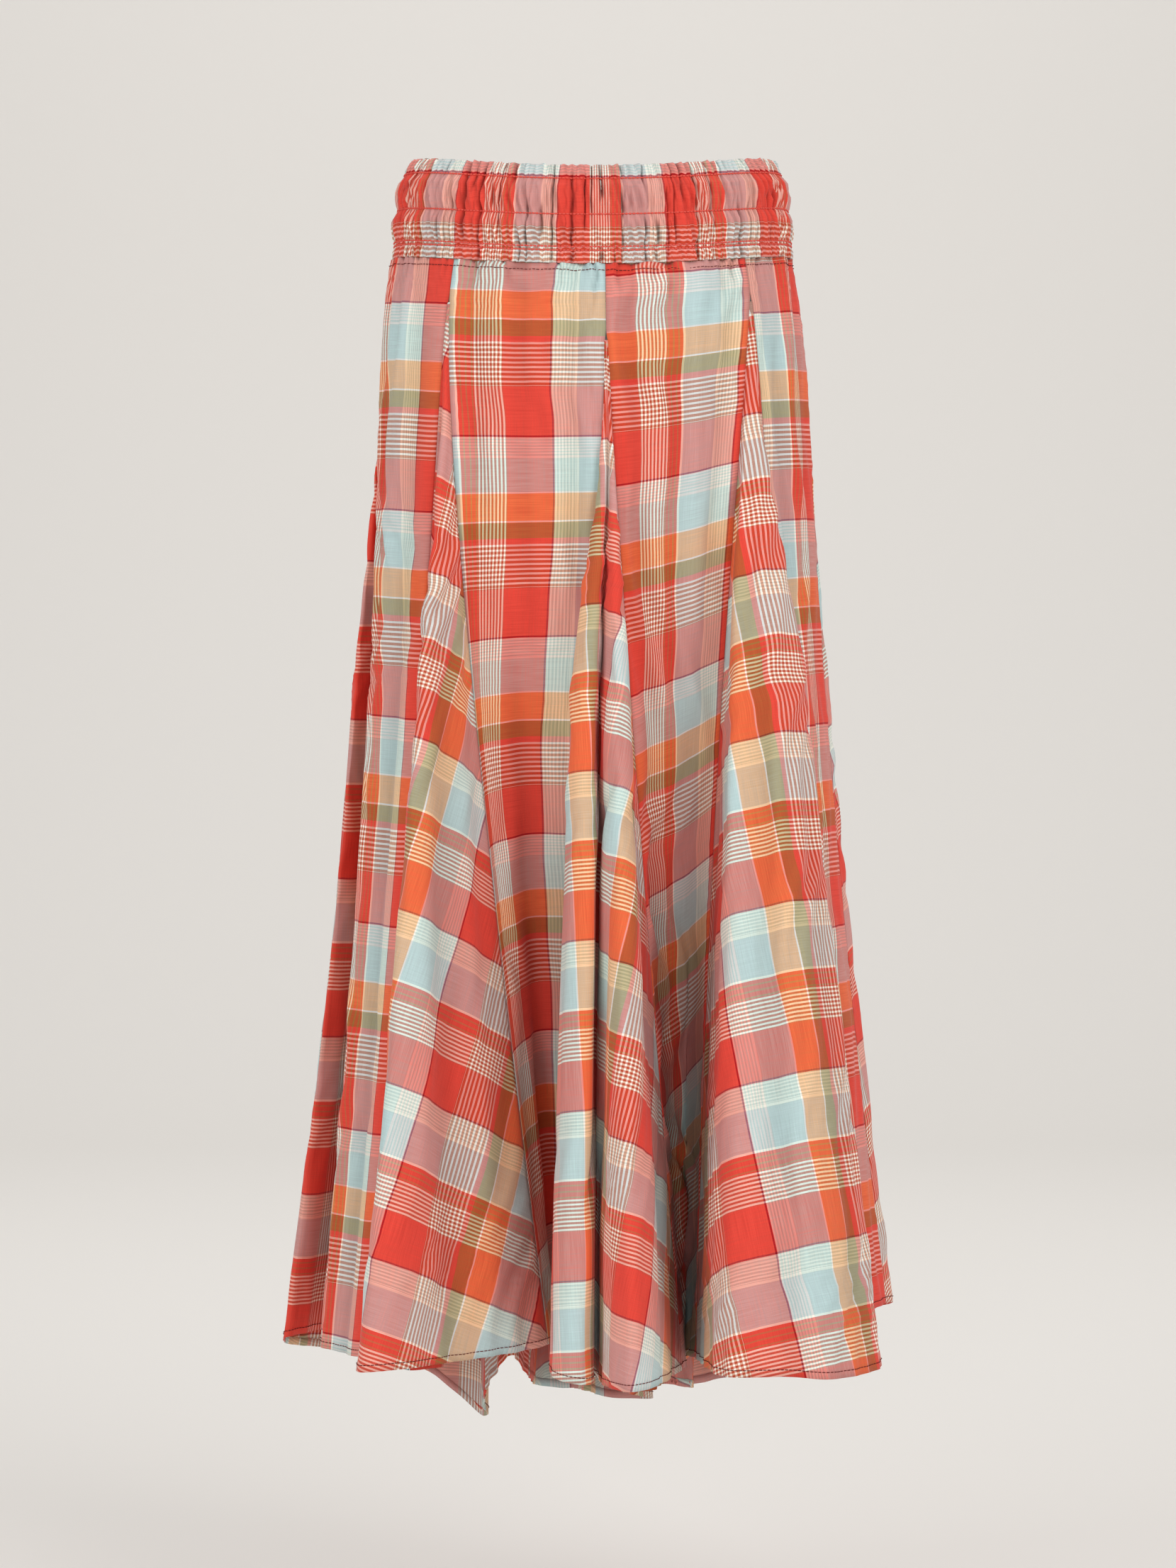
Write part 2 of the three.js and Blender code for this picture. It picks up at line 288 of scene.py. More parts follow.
# ---- Lines of the cloth ---------------------------------------------------------------------
@dataclass(frozen=True)
class Line:
    """One line of the cloth: a seam, or the ridge or valley of a fold.

    Attributes:
        x, y, z: Where it meets the hem.
        power: Below 1 it leaves the plain form at once, above 1 late.
        angle: Its own angle round the waist in degrees, for a line of a panel.
    """

    x: float
    y: float
    z: float
    power: float
    angle: float = 0.0


@dataclass(frozen=True)
class Crease:
    """A soft trough or ridge laid on a piece.

    Attributes:
        top, bottom: Levels between which it runs.
        start, end: Shares of the piece's width at which it starts and ends.
        half_width: Half its width in millimetres.
        rise: Height in millimetres, negative for a trough.
        dark: Painted shade along it, 0 to 1, beyond what its own depth gives.
        fade_in, fade_out: Shares of its run over which it comes up and from which it fades away.
    """

    top: float
    start: float
    bottom: float
    end: float
    half_width: float
    rise: float
    dark: float = 0.0
    fade_in: ClassVar[float] = 0.3
    fade_out: ClassVar[float] = 0.65

    def bell(self, level: np.ndarray, share: np.ndarray, width: np.ndarray) -> np.ndarray:
        """Its shape: a bell across it, which fades in and out along it.

        Args:
            level: Levels, shaped (rows, 1).
            share: Shares of the width, shaped (rows, columns).
            width: Width of the piece at each level in millimetres, shaped (rows, 1).

        Returns:
            Shares of its full height, shaped (rows, columns).
        """
        along = (level - self.top) / (self.bottom - self.top)
        middle = self.start + (self.end - self.start) * np.clip(along, 0.0, 1.0)
        fade = smooth_ramp(along, 0.0, self.fade_in) * smooth_ramp(-along, -1.0, -self.fade_out)
        return fade * hump((share - middle) * width, 0.0, self.half_width)


@dataclass(frozen=True)
class Piece:
    """A cut piece of the skirt below the waistband.

    Attributes:
        name: Its node.
        lines: Its lines of cloth, from left to right as seen from outside.
        creases: Its listed creases.
    """

    name: str
    lines: tuple[Line, ...]
    creases: tuple[Crease, ...] = ()

    def hangs_from(self) -> tuple[str, ...]:
        """Halves of the waistband that hold it: a side godet's point is at the seam of both.

        Returns:
            Their nodes.
        """
        if self.name.startswith("godet_side"):
            return ("waistband_front", "waistband_back")
        return ("waistband_back",) if "back" in self.name else ("waistband_front",)

    def controls(self, form: FlaredForm, level: np.ndarray) -> np.ndarray:
        """Places of its lines at each level.

        A line leaves the plain form by its offset at the hem, times a power of the level.

        Args:
            form: The plain form.
            level: Levels, shaped (rows,).

        Returns:
            Places shaped (rows, lines, 3).
        """
        places = []
        for line in self.lines:
            angle = math.radians(line.angle)
            offset = np.array([line.x, line.y]) - form.place(angle, 1.0)
            plan = form.place(angle, level) + offset * np.power(level, line.power)[:, None]
            places.append(np.column_stack([plan, form.height(angle, line.z, level)]))
        return np.stack(places, axis=1)


@dataclass(frozen=True)
class Panel(Piece):
    """A straight panel between two godets.

    Attributes:
        warp_start: Place in the check's run down the cloth at the waist seam, in millimetres.
        warp_slant: How much that place changes across the panel, for cloth laid off its grain.
        slant_growth: How much the slant grows for each millimetre down the panel.
        ease: Flat length over hung length.
        lean: Power of the share of the width low down, where the cloth is pulled to one side: below
            1 it crowds to the left, above 1 to the right.
        weft_start: Place in the check's run across the cloth at the left edge.
        weft_sign: 1 if the check runs rightwards, -1 if leftwards.
        flat_width: Width of the flat strip in millimetres.
    """

    warp_start: float = 0.0
    warp_slant: float = 0.0
    slant_growth: float = 0.0
    ease: float = 1.0
    lean: float = 1.0
    weft_start: float = 0.0
    weft_sign: float = 1.0
    flat_width: float = 108.0


@dataclass(frozen=True)
class Godet(Piece):
    """A wedge set into a slit, cut across the grain.

    Attributes:
        angle: Angle round the waist in degrees at which it is set in.
        tip: Level of its sewn point.
        laid: Stretches at which the cloth lies as wide as it was cut, each with its first and last
            line, the line that its angle is given at, and that angle in the flat wedge in degrees.
            The cloth between two stretches is in a fold and takes up what is left.
        warp_start: Place in the check's run across the wedge at its middle, in millimetres.
        warp_sign: 1 if the check runs rightwards, -1 if leftwards.
        weft_start: Place in the check's run down the wedge at its point.
        tip_width, closed_width: Gap between its seams just below its point, and above it.
        tip_reach: Level over which the gap opens.
        fold_fade: Share of its run over which its folds grow.
    """

    angle: float = 0.0
    tip: float = 0.04
    laid: tuple = ()
    warp_start: float = 0.0
    warp_sign: float = 1.0
    weft_start: float = 0.0
    tip_width: float = 2.5
    closed_width: float = 0.3
    tip_reach: float = 0.006
    fold_fade: float = 0.35

    def controls(self, form: FlaredForm, level: np.ndarray) -> np.ndarray:
        """Places of its lines at each level.

        Above the point its seams lie together. Below, they part, and the folds between them grow
        out of the flat strip of cloth that joins the seams.

        Args:
            form: The plain form.
            level: Levels, shaped (rows,).

        Returns:
            Places shaped (rows, lines, 3).
        """
        angle = math.radians(self.angle)
        first, last = self.lines[0], self.lines[-1]
        progress = np.clip((level - self.tip) / (1.0 - self.tip), 0.0, 1.0)
        plain = form.place(angle, level)
        middle_height = form.height(angle, (first.z + last.z) / 2.0, level)
        below = level >= self.tip
        places = []
        for line in self.lines:
            offset = np.array([line.x, line.y]) - form.place(angle, 1.0)
            plan = plain + offset * np.power(progress, line.power)[:, None]
            height = np.where(below, form.height(angle, line.z, level), middle_height)
            places.append(np.column_stack([plan, height]))
        points = np.stack(places, axis=1)
        along = np.array([math.cos(angle), math.sin(angle), 0.0])
        opening = smooth_ramp(level, self.tip - self.tip_reach, self.tip)
        half = (self.closed_width + (self.tip_width - self.closed_width) * opening) / 2.0
        points[:, 0] -= along * half[:, None]
        points[:, -1] += along * half[:, None]
        share = np.linspace(0.0, 1.0, len(self.lines))[None, :, None]
        strip = points[:, :1] * (1.0 - share) + points[:, -1:] * share
        grown = smooth_ramp(progress, 0.0, self.fold_fade)[:, None, None]
        inner = strip * (1.0 - grown) + points * grown
        points[:, 1:-1] = inner[:, 1:-1]
        return points


# ---- Tables of the pieces -------------------------------------------------------------------
# A crease's last number, where given, is painted shade along it.
PIECES = (
    Godet(
        "godet_side_left",
        lines=(
            Line(-190, 150, -822, 1),
            Line(-222, 100, -812, 0.8),
            Line(-219, 46, -800, 0.8),
            Line(-172, 118, -800, 1),
            Line(-183, 35, -799, 1),
        ),
        creases=(Crease(0.35, 0.3, 1.15, 0.34, 16, -3), Crease(0.45, 0.5, 1.1, 0.46, 12, 2.5)),
        angle=-92,
        tip=0.04,
        warp_start=88,
        warp_sign=-1,
    ),
    Panel(
        "panel_side_left",
        lines=(Line(-191, -4, -799.5, 1, -78), Line(-174, -34, -801, 1, -60)),
        creases=(
            Crease(-0.05, 0.25, 0.5, 0.35, 7, -2.2),
            Crease(-0.04, 0.55, 0.42, 0.5, 6, 2.0),
            Crease(-0.05, 0.78, 0.6, 0.7, 8, -2.4),
            Crease(0.25, 0.42, 1.2, 0.48, 8, 3.4),
            Crease(0.3, 0.66, 1.2, 0.7, 7, -3.2),
            Crease(0.45, 0.2, 1.2, 0.22, 8, -2.4),
        ),
        warp_start=-72.5,
        lean=1.8,
        weft_start=38,
        weft_sign=-1,
    ),
    Godet(
        "godet_front_left",
        lines=(
            Line(-158, -60, -800, 1),
            Line(-104, -54, -795, 1),
            Line(-158, -138, -798, 0.75),
            Line(-154, -160, -797, 0.75),
            Line(-136, -158, -796, 0.8),
            Line(-90, -112, -796, 0.9),
            Line(-31, -62, -791, 1.35),
        ),
        creases=(
            Crease(0.3, 0.72, 1.2, 0.76, 13, -3.0),
            Crease(0.36, 0.84, 1.15, 0.88, 11, 2.4),
            Crease(0.25, 0.62, 0.9, 0.66, 9, 1.8),
        ),
        angle=-42.7,
        tip=0.04,
        laid=((0, 6, 6, 26.7),),
        warp_start=263,
        warp_sign=-1,
        weft_start=-1,
    ),
    Panel(
        "panel_front_left",
        lines=(Line(-24, -14, -788, 1.3, -19.6),),
        creases=(
            Crease(-0.06, 0.16, 0.34, 0.2, 6, -2.2),
            Crease(-0.05, 0.33, 0.2, 0.34, 4.5, 1.7),
            Crease(-0.06, 0.48, 0.45, 0.44, 6, -2.4),
            Crease(-0.05, 0.66, 0.24, 0.65, 5, 1.8),
            Crease(-0.06, 0.82, 0.4, 0.78, 6, -2.2),
            Crease(0.18, 0.62, 0.8, 0.66, 12, 2.2),
            Crease(0.22, 0.31, 1.3, 0.36, 6.5, -3.6),
            Crease(0.35, 0.14, 1.2, 0.18, 9, 2.4),
            Crease(0.4, 0.8, 1.35, 0.78, 28, -0.8, 0.85),
            Crease(0.6, 0.04, 1.4, 0.04, 12, -0.4, 0.4),
        ),
        warp_start=-22,
        warp_slant=0.005,
        slant_growth=0.0004,
        ease=1.022,
        lean=0.55,
        weft_start=-5,
    ),
    Godet(
        "godet_front_centre",
        lines=(
            Line(0, -68, -800, 1),
            Line(-29, -122, -800, 0.5),
            Line(-20, -154, -804, 0.6),
            Line(-5, -158, -806, 0.7),
            Line(1, -116, -806, 0.75),
            Line(12, -166, -807, 0.75),
            Line(26, -182, -807, 0.75),
            Line(39, -170, -806, 0.7),
            Line(61, -81, -805, 1.1),
        ),
        creases=(
            Crease(0.4, 0.86, 1.2, 0.88, 12, -2.2, 0.2),
            Crease(0.35, 0.12, 1.1, 0.1, 10, -2.0, 0.2),
            Crease(0.4, 0.97, 1.35, 0.96, 22, -0.4, 0.5),
        ),
        angle=3.5,
        tip=0.07,
        laid=((0, 3, 3, -4.3), (5, 8, 5, 15)),
        warp_start=43.7,
        weft_start=0,
    ),
    Panel(
        "panel_front_right",
        lines=(Line(66, -28, -804, 1.3, 25.9),),
        creases=(
            Crease(-0.06, 0.14, 0.36, 0.18, 6, -2.2),
            Crease(-0.05, 0.3, 0.22, 0.33, 4.5, 1.7),
            Crease(-0.06, 0.46, 0.5, 0.5, 6, -2.2),
            Crease(-0.05, 0.64, 0.26, 0.62, 5, 1.9),
            Crease(-0.06, 0.84, 0.42, 0.8, 6, -2.3),
            Crease(0.2, 0.22, 1.2, 0.26, 6.5, -2.8),
            Crease(0.3, 0.62, 1.2, 0.6, 14, 3.2),
            Crease(0.45, 0.16, 1.35, 0.12, 18, -0.6, 0.75),
            Crease(0.5, 0.9, 1.35, 0.92, 20, -0.6, 0.75),
        ),
        warp_start=-49.4,
        warp_slant=0.02,
        slant_growth=0.0006,
        weft_start=56,
        weft_sign=-1,
    ),
    Godet(
        "godet_front_right",
        lines=(
            Line(71, -80, -798, 0.95),
            Line(91, -183, -797, 0.85),
            Line(129, -188, -796, 0.8),
            Line(157, -186, -798, 0.7),
            Line(195, -128, -797, 0.5),
            Line(150, -82, -795, 1),
            Line(178, -22, -785, 1),
        ),
        creases=(
            Crease(0.3, 0.36, 1.2, 0.4, 10, -2.6),
            Crease(0.4, 0.56, 1.2, 0.55, 12, -2.4),
            Crease(0.25, 0.2, 0.9, 0.16, 10, -2.0),
            Crease(0.35, 0.04, 1.35, 0.06, 24, -0.5, 0.5),
        ),
        angle=48.3,
        tip=0.04,
        laid=((0, 6, 1, -12.5),),
        warp_start=67,
        weft_start=-10,
    ),
    Panel(
        "panel_side_right",
        lines=(Line(199, 30, -780, 1, 70),),
        creases=(
            Crease(-0.05, 0.2, 0.5, 0.28, 7, -2.2),
            Crease(-0.04, 0.42, 0.36, 0.45, 5, 1.8),
            Crease(-0.05, 0.68, 0.55, 0.64, 7, -2.3),
            Crease(0.3, 0.34, 1.2, 0.3, 8, 3.0),
            Crease(0.35, 0.62, 1.2, 0.6, 8, -3.0),
        ),
        warp_start=-79.5,
        weft_start=-40,
    ),
    Godet(
        "godet_side_right",
        lines=(
            Line(212, 74, -779, 1),
            Line(218, 98, -782, 1),
            Line(148, 100, -800, 1),
            Line(206, 136, -808, 0.9),
            Line(200, 162, -812, 0.9),
            Line(168, 152, -820, 1),
        ),
        creases=(Crease(0.35, 0.7, 1.15, 0.68, 12, -2.6), Crease(0.5, 0.86, 1.1, 0.84, 9, 2.0)),
        angle=93,
        tip=0.04,
        warp_start=20,
    ),
    Panel(
        "panel_back_side_right",
        lines=(Line(140, 122, -820, 1.2, 115),),
        creases=(
            Crease(-0.06, 0.2, 0.4, 0.26, 6, -2.2),
            Crease(-0.05, 0.5, 0.3, 0.47, 5, 1.9),
            Crease(-0.06, 0.76, 0.5, 0.72, 7, -2.3),
            Crease(0.3, 0.45, 1.1, 0.5, 14, 2.4),
        ),
        flat_width=84,
        warp_start=-30,
        weft_start=20,
        weft_sign=-1,
    ),
    Godet(
        "godet_back_right",
        lines=(
            Line(104, 88, -830, 1),
            Line(128, 196, -845, 0.8),
            Line(104, 206, -850, 0.8),
            Line(76, 196, -855, 0.8),
            Line(70, 110, -845, 1),
            Line(52, 92, -840, 1),
        ),
        creases=(Crease(0.35, 0.2, 1.15, 0.18, 12, -2.6), Crease(0.3, 0.5, 1.1, 0.54, 10, -2.2)),
        angle=138,
        tip=0.07,
        warp_start=95,
        warp_sign=-1,
    ),
    Panel(
        "panel_back_right",
        lines=(Line(44, 60, -840, 1.3, 160),),
        creases=(
            Crease(-0.06, 0.15, 0.4, 0.2, 6, -2.2),
            Crease(-0.05, 0.36, 0.22, 0.38, 4.5, 1.8),
            Crease(-0.06, 0.56, 0.5, 0.52, 6, -2.3),
            Crease(-0.06, 0.82, 0.36, 0.8, 6, -2.1),
            Crease(0.25, 0.3, 1.0, 0.36, 13, 2.3),
        ),
        flat_width=100,
        warp_start=-60,
        warp_slant=0.02,
        weft_start=10,
    ),
    Godet(
        "godet_back_centre",
        lines=(
            Line(22, 118, -850, 1),
            Line(44, 184, -864, 0.8),
            Line(14, 204, -866, 0.8),
            Line(-4, 128, -850, 1),
            Line(-18, 200, -858, 0.8),
            Line(-38, 194, -856, 0.8),
            Line(-46, 118, -838, 1),
        ),
        creases=(Crease(0.35, 0.14, 1.15, 0.12, 11, -2.4), Crease(0.4, 0.82, 1.1, 0.84, 11, -2.4)),
        angle=183.5,
        tip=0.07,
        warp_start=30,
    ),
    Panel(
        "panel_back_left",
        lines=(Line(-60, 58, -815, 1.3, 206),),
        creases=(
            Crease(-0.06, 0.18, 0.38, 0.2, 6, -2.2),
            Crease(-0.05, 0.42, 0.24, 0.4, 5, 1.8),
            Crease(-0.06, 0.62, 0.5, 0.66, 6, -2.3),
            Crease(-0.06, 0.85, 0.4, 0.82, 6, -2.1),
            Crease(0.3, 0.45, 1.1, 0.4, 13, 2.3),
        ),
        flat_width=100,
        warp_start=-8,
        weft_start=70,
        weft_sign=-1,
    ),
    Godet(
        "godet_back_left",
        lines=(
            Line(-78, 96, -845, 1),
            Line(-84, 192, -876, 0.8),
            Line(-118, 200, -849, 0.8),
            Line(-146, 178, -832, 0.8),
            Line(-112, 112, -830, 1),
            Line(-132, 92, -830, 1),
        ),
        creases=(Crease(0.35, 0.2, 1.15, 0.18, 12, -2.6), Crease(0.3, 0.52, 1.1, 0.5, 10, 2.0)),
        angle=228,
        tip=0.07,
        warp_start=110,
    ),
    Panel(
        "panel_back_side_left",
        lines=(Line(-146, 134, -828, 1.2, 248),),
        creases=(
            Crease(-0.06, 0.24, 0.42, 0.28, 6, -2.2),
            Crease(-0.05, 0.48, 0.3, 0.5, 5, 1.9),
            Crease(-0.06, 0.78, 0.5, 0.74, 7, -2.3),
            Crease(0.3, 0.5, 1.1, 0.45, 14, 2.4),
        ),
        flat_width=84,
        warp_start=-100,
        weft_start=-20,
    ),
)


# ---- The skirt below the waistband ----------------------------------------------------------
@dataclass(frozen=True)
class ClothShell:
    """How the cloth of the skirt is laid as a thin shell on its form. Sizes are in millimetres.

    Attributes:
        thickness: Thickness of the cloth.
        body_length: Usual length from the waist seam to the hem.
        hem_turn, hem_inset: Height of the turned hem, and how far it lies behind the cloth.
        seam_margin: Distance from a side seam over which all relief but its own comes up.
        seam_sink, seam_reach: Depth and reach of the sink along a side seam.
        seam_shade, seam_shade_reach: Painted shade along a side seam, 0 to 1, and how far it reaches.
        pucker_rise, pucker_pitch, pucker_reach: Size of the puckers that fade away from the seam.
        pucker_start: Distance from the seam over which they come up.
        pucker_offset: Sets the puckers at the right edge apart from those at the left.
        gather_rise, gather_pitch, gather_reach: Size of the gathers that fade down from the waist.
        gather_spread: Spread of their spacing.
        gather_drift, gather_drift_wave: How far they drift in pitches, and in what length.
        gather_shade: Painted shade in a trough between them, for each millimetre of its depth.
        ripple_rise, ripple_wave: Height and length of the slow ripple across the cloth.
        ripple_drift, ripple_drift_wave: How far it drifts in waves, and in what length.
        fold_shade: Painted shade in the trough of a crease, for each millimetre of its depth.
        lean_top, lean_bottom: Levels between which the lean of a panel comes in.
        nearest_tip: Least distance from a godet's point at which its angle is measured.
        widest_angle: Limit of that angle in radians.
        godet_rows, panel_rows, row_power: Rows of each grid, and how much closer at the top.
        column_gap, panel_column_gap, stitch_step: Gaps of the columns and of places of stitches.
        fewest_columns, fine_steps: Least columns, and steps in which a hem is measured.
        near_level: Step in level by which the normal of a row of stitches is found.
    """

    thickness: float = 0.5
    body_length: float = 765.0
    hem_turn: float = 5.5
    hem_inset: float = 0.8
    seam_margin: float = 7.0
    seam_sink: float = 0.45
    seam_reach: float = 1.3
    seam_shade: float = 0.35
    seam_shade_reach: float = 1.6
    pucker_rise: float = 0.45
    pucker_pitch: float = 9.0
    pucker_reach: float = 7.0
    pucker_start: float = 2.5
    pucker_offset: float = 3.7
    gather_rise: float = 1.2
    gather_pitch: float = 7.5
    gather_reach: float = 22.0
    gather_spread: float = 0.6
    gather_drift: float = 0.25
    gather_drift_wave: float = 40.0
    gather_shade: float = 0.25
    ripple_rise: float = 1.1
    ripple_wave: float = 34.0
    ripple_drift: float = 0.4
    ripple_drift_wave: float = 260.0
    fold_shade: float = 0.09
    lean_top: float = 0.15
    lean_bottom: float = 0.5
    nearest_tip: float = 15.0
    widest_angle: float = 1.0
    godet_rows: int = 150
    panel_rows: int = 136
    row_power: float = 1.12
    column_gap: float = 3.9
    panel_column_gap: float = 2.1
    stitch_step: float = 1.5
    fewest_columns: int = 12
    fine_steps: int = 1200
    near_level: float = 0.002


@dataclass
class SkirtBody:
    """The eight panels and eight godets.

    Attributes:
        form: The plain form they hang on.
        pieces: Their table, in order round the body.
        shell: How the cloth is laid.
    """

    form: FlaredForm = field(default_factory=FlaredForm)
    pieces: tuple[Piece, ...] = PIECES
    shell: ClothShell = field(default_factory=ClothShell)

    def controls(self, level: np.ndarray) -> np.ndarray:
        """Places of every line of the skirt at each level, shaped (rows, lines, 3)."""
        return np.concatenate([piece.controls(self.form, level) for piece in self.pieces], axis=1)

    def span(self, index: int) -> list[int]:
        """Numbers of the controls that bound a piece.

        A godet has its own lines. A panel starts and ends on the seams of the godets beside it.

        Args:
            index: The piece's number.

        Returns:
            Numbers of lines of the whole skirt, from left to right.
        """
        counts = [len(piece.lines) for piece in self.pieces]
        first = sum(counts[:index])
        own = list(range(first, first + counts[index]))
        if isinstance(self.pieces[index], Godet):
            return own
        total = sum(counts)
        return [(first - 1) % total, *own, (own[-1] + 1) % total]

    @staticmethod
    def stretch(controls: np.ndarray, i: int, share: np.ndarray) -> np.ndarray:
        """Places on the centripetal Catmull-Rom curve from control i to the next one.

        Args:
            controls: Places of all lines, shaped (rows, lines, 3).
            i: The control that the stretch starts at.
            share: How far along to read it, 0 to 1, shaped (columns,).

        Returns:
            Places shaped (rows, columns, 3).
        """
        count = controls.shape[1]
        a, b, c, d = (controls[:, (i + k) % count][:, None, :] for k in (-1, 0, 1, 2))

        def gap(p: np.ndarray, q: np.ndarray) -> np.ndarray:
            """Square root of the distance in plan."""
            distance = np.linalg.norm((q - p)[..., :2], axis=2)
            return np.sqrt(np.maximum(distance, TINY_WIDTH))[..., None]

        tb = gap(a, b)
        tc = tb + gap(b, c)
        td = tc + gap(c, d)
        t = tb + (tc - tb) * share[None, :, None]
        ab = a + (b - a) * t / tb
        bc = b + (c - b) * (t - tb) / (tc - tb)
        cd = c + (d - c) * (t - tc) / (td - tc)
        abc = ab + (bc - ab) * t / tc
        bcd = bc + (cd - bc) * (t - tb) / (td - tb)
        return abc + (bcd - abc) * (t - tb) / (tc - tb)

    def smooth_surface(self, index: int, level: np.ndarray, places: np.ndarray) -> np.ndarray:
        """The piece's surface without its small relief.

        Args:
            index: The piece's number.
            level: Levels, shaped (rows,).
            places: Line numbers with fractions across the piece, shaped (columns,).

        Returns:
            Places shaped (rows, columns, 3).
        """
        controls = self.controls(level)
        span = self.span(index)
        whole = np.clip(np.floor(places).astype(int), 0, len(span) - 2)
        parts = []
        for k in range(len(span) - 1):
            share = places[whole == k] - k
            if len(share):
                parts.append(self.stretch(controls, span[k], share))
        return np.concatenate(parts, axis=1)

    def columns(self, index: int, gap: float) -> np.ndarray:
        """Line numbers with fractions, spaced evenly along the hem.

        Args:
            index: The piece's number.
            gap: About how far apart the columns are at the hem, in millimetres.

        Returns:
            Line numbers, shaped (columns,).
        """
        fine = np.linspace(0.0, len(self.span(index)) - 1.0, self.shell.fine_steps)
        hem = self.smooth_surface(index, np.array([1.0]), fine)
        run = run_length(hem, 1)[0]
        count = max(self.shell.fewest_columns, int(round(run[-1] / gap)))
        return np.interp(np.linspace(0.0, run[-1], count + 1), run, fine)

    def relief(self, index: int, level: np.ndarray, run: np.ndarray) -> tuple[np.ndarray, np.ndarray]:
        """Height of the small relief over the smooth surface, and the painted shade that goes with it.

        It is a sink along each side seam, puckers that fade away from it, gathers that fade down
        from the waist seam, a slow ripple and the listed creases.

        Args:
            index: The piece's number.
            level: Levels, shaped (rows, 1).
            run: Length across the piece from its left edge, shaped (rows, columns).

        Returns:
            Heights in millimetres and painted shade from 0 to 1, each shaped (rows, columns).
        """
        shell, piece = self.shell, self.pieces[index]
        width = run[:, -1:]
        share = run / np.maximum(width, TINY_WIDTH)
        edge = np.minimum(run, width - run)
        down = level * shell.body_length
        inside = smooth_ramp(edge, 0.0, shell.seam_margin)
        sink = -shell.seam_sink * hump(edge, 0.0, shell.seam_reach)
        side = np.where(share < 0.5, 0.0, shell.pucker_offset)
        beat = wander(down / shell.pucker_pitch / 2.0 + side, Seed.PUCKER + index)
        near = np.exp(-edge / shell.pucker_reach) * smooth_ramp(edge, 0.0, shell.pucker_start)
        puckers = shell.pucker_rise * beat * near
        drift = shell.ripple_drift * wander(down / shell.ripple_drift_wave, Seed.RIPPLE_DRIFT + index)
        ripple = wander(run / shell.ripple_wave + drift, Seed.RIPPLE + index)
        height = puckers + shell.ripple_rise * ripple * inside
        # Painted shade, which the material darkens the colour by: along each side seam, in the troughs of
        # creases and gathers, and in the hollows given with each crease.
        painted_shade = shell.seam_shade * hump(edge, 0.0, shell.seam_shade_reach)
        for one in piece.creases:
            bell = one.bell(level, share, width) * inside
            height = height + one.rise * bell
            painted_shade = painted_shade + (one.dark + shell.fold_shade * max(-one.rise, 0.0)) * bell
        if isinstance(piece, Panel):
            shift = shell.gather_drift * wander(down / shell.gather_drift_wave, Seed.GATHER_SHIFT + index)
            turn = run / shell.gather_pitch + shift
            wave = wander(turn, Seed.GATHER + index, reach=shell.gather_spread)
            gather = shell.gather_rise * wave * np.exp(-down / shell.gather_reach) * inside
            height = height + gather
            painted_shade = painted_shade + shell.gather_shade * np.maximum(-gather, 0.0)
        return height + sink, painted_shade

    def surface(
        self, index: int, level: np.ndarray, places: np.ndarray
    ) -> tuple[np.ndarray, np.ndarray, np.ndarray]:
        """The piece's surface with its relief.

        Args:
            index: The piece's number.
            level: Levels, shaped (rows,).
            places: Line numbers with fractions, shaped (columns,).

        Returns:
            Places, normals and painted shade; the last is shaped (rows, columns).
        """
        smooth = self.smooth_surface(index, level, places)
        normal = grid_normals(smooth)
        run = run_length(smooth, 1)
        height, painted_shade = self.relief(index, level[:, None], run)
        points = smooth + normal * height[..., None]
        return points, grid_normals(points), painted_shade

    def wedge_angle(
        self, laid: tuple, places: np.ndarray, down: np.ndarray, run: np.ndarray
    ) -> np.ndarray:
        """Angle of each point in the flat wedge of a godet, from its run along the row.

        Within a laid stretch the angle changes by run over distance from the tip. Between two
        stretches it is spread evenly over the lines.

        Args:
            laid: The godet's laid stretches.
            places: Line numbers with fractions, shaped (columns,).
            down: Distances from the tip, shaped (rows, columns).
            run: Lengths along the rows, shaped (rows, columns).

        Returns:
            Angles in radians, shaped (rows, columns).
        """
        reach = np.maximum(down, self.shell.nearest_tip)
        angle = np.zeros_like(run)
        ends = None
        for low, high, at, degrees in laid:
            pick = [int(np.argmin(np.abs(places - value))) for value in (low, high, at)]
            here = math.radians(degrees) + (run - run[:, pick[2] : pick[2] + 1]) / reach
            inside = (places >= low) & (places <= high)
            angle = np.where(inside[None, :], here, angle)
            if ends is not None:
                share = ((places - ends[0]) / (low - ends[0]))[None, :]
                between = ends[1] + (here[:, pick[0] : pick[0] + 1] - ends[1]) * share
                gap = (places > ends[0]) & (places < low)
                angle = np.where(gap[None, :], between, angle)
            ends = (high, here[:, pick[1] : pick[1] + 1])
        return np.clip(angle, -self.shell.widest_angle, self.shell.widest_angle)

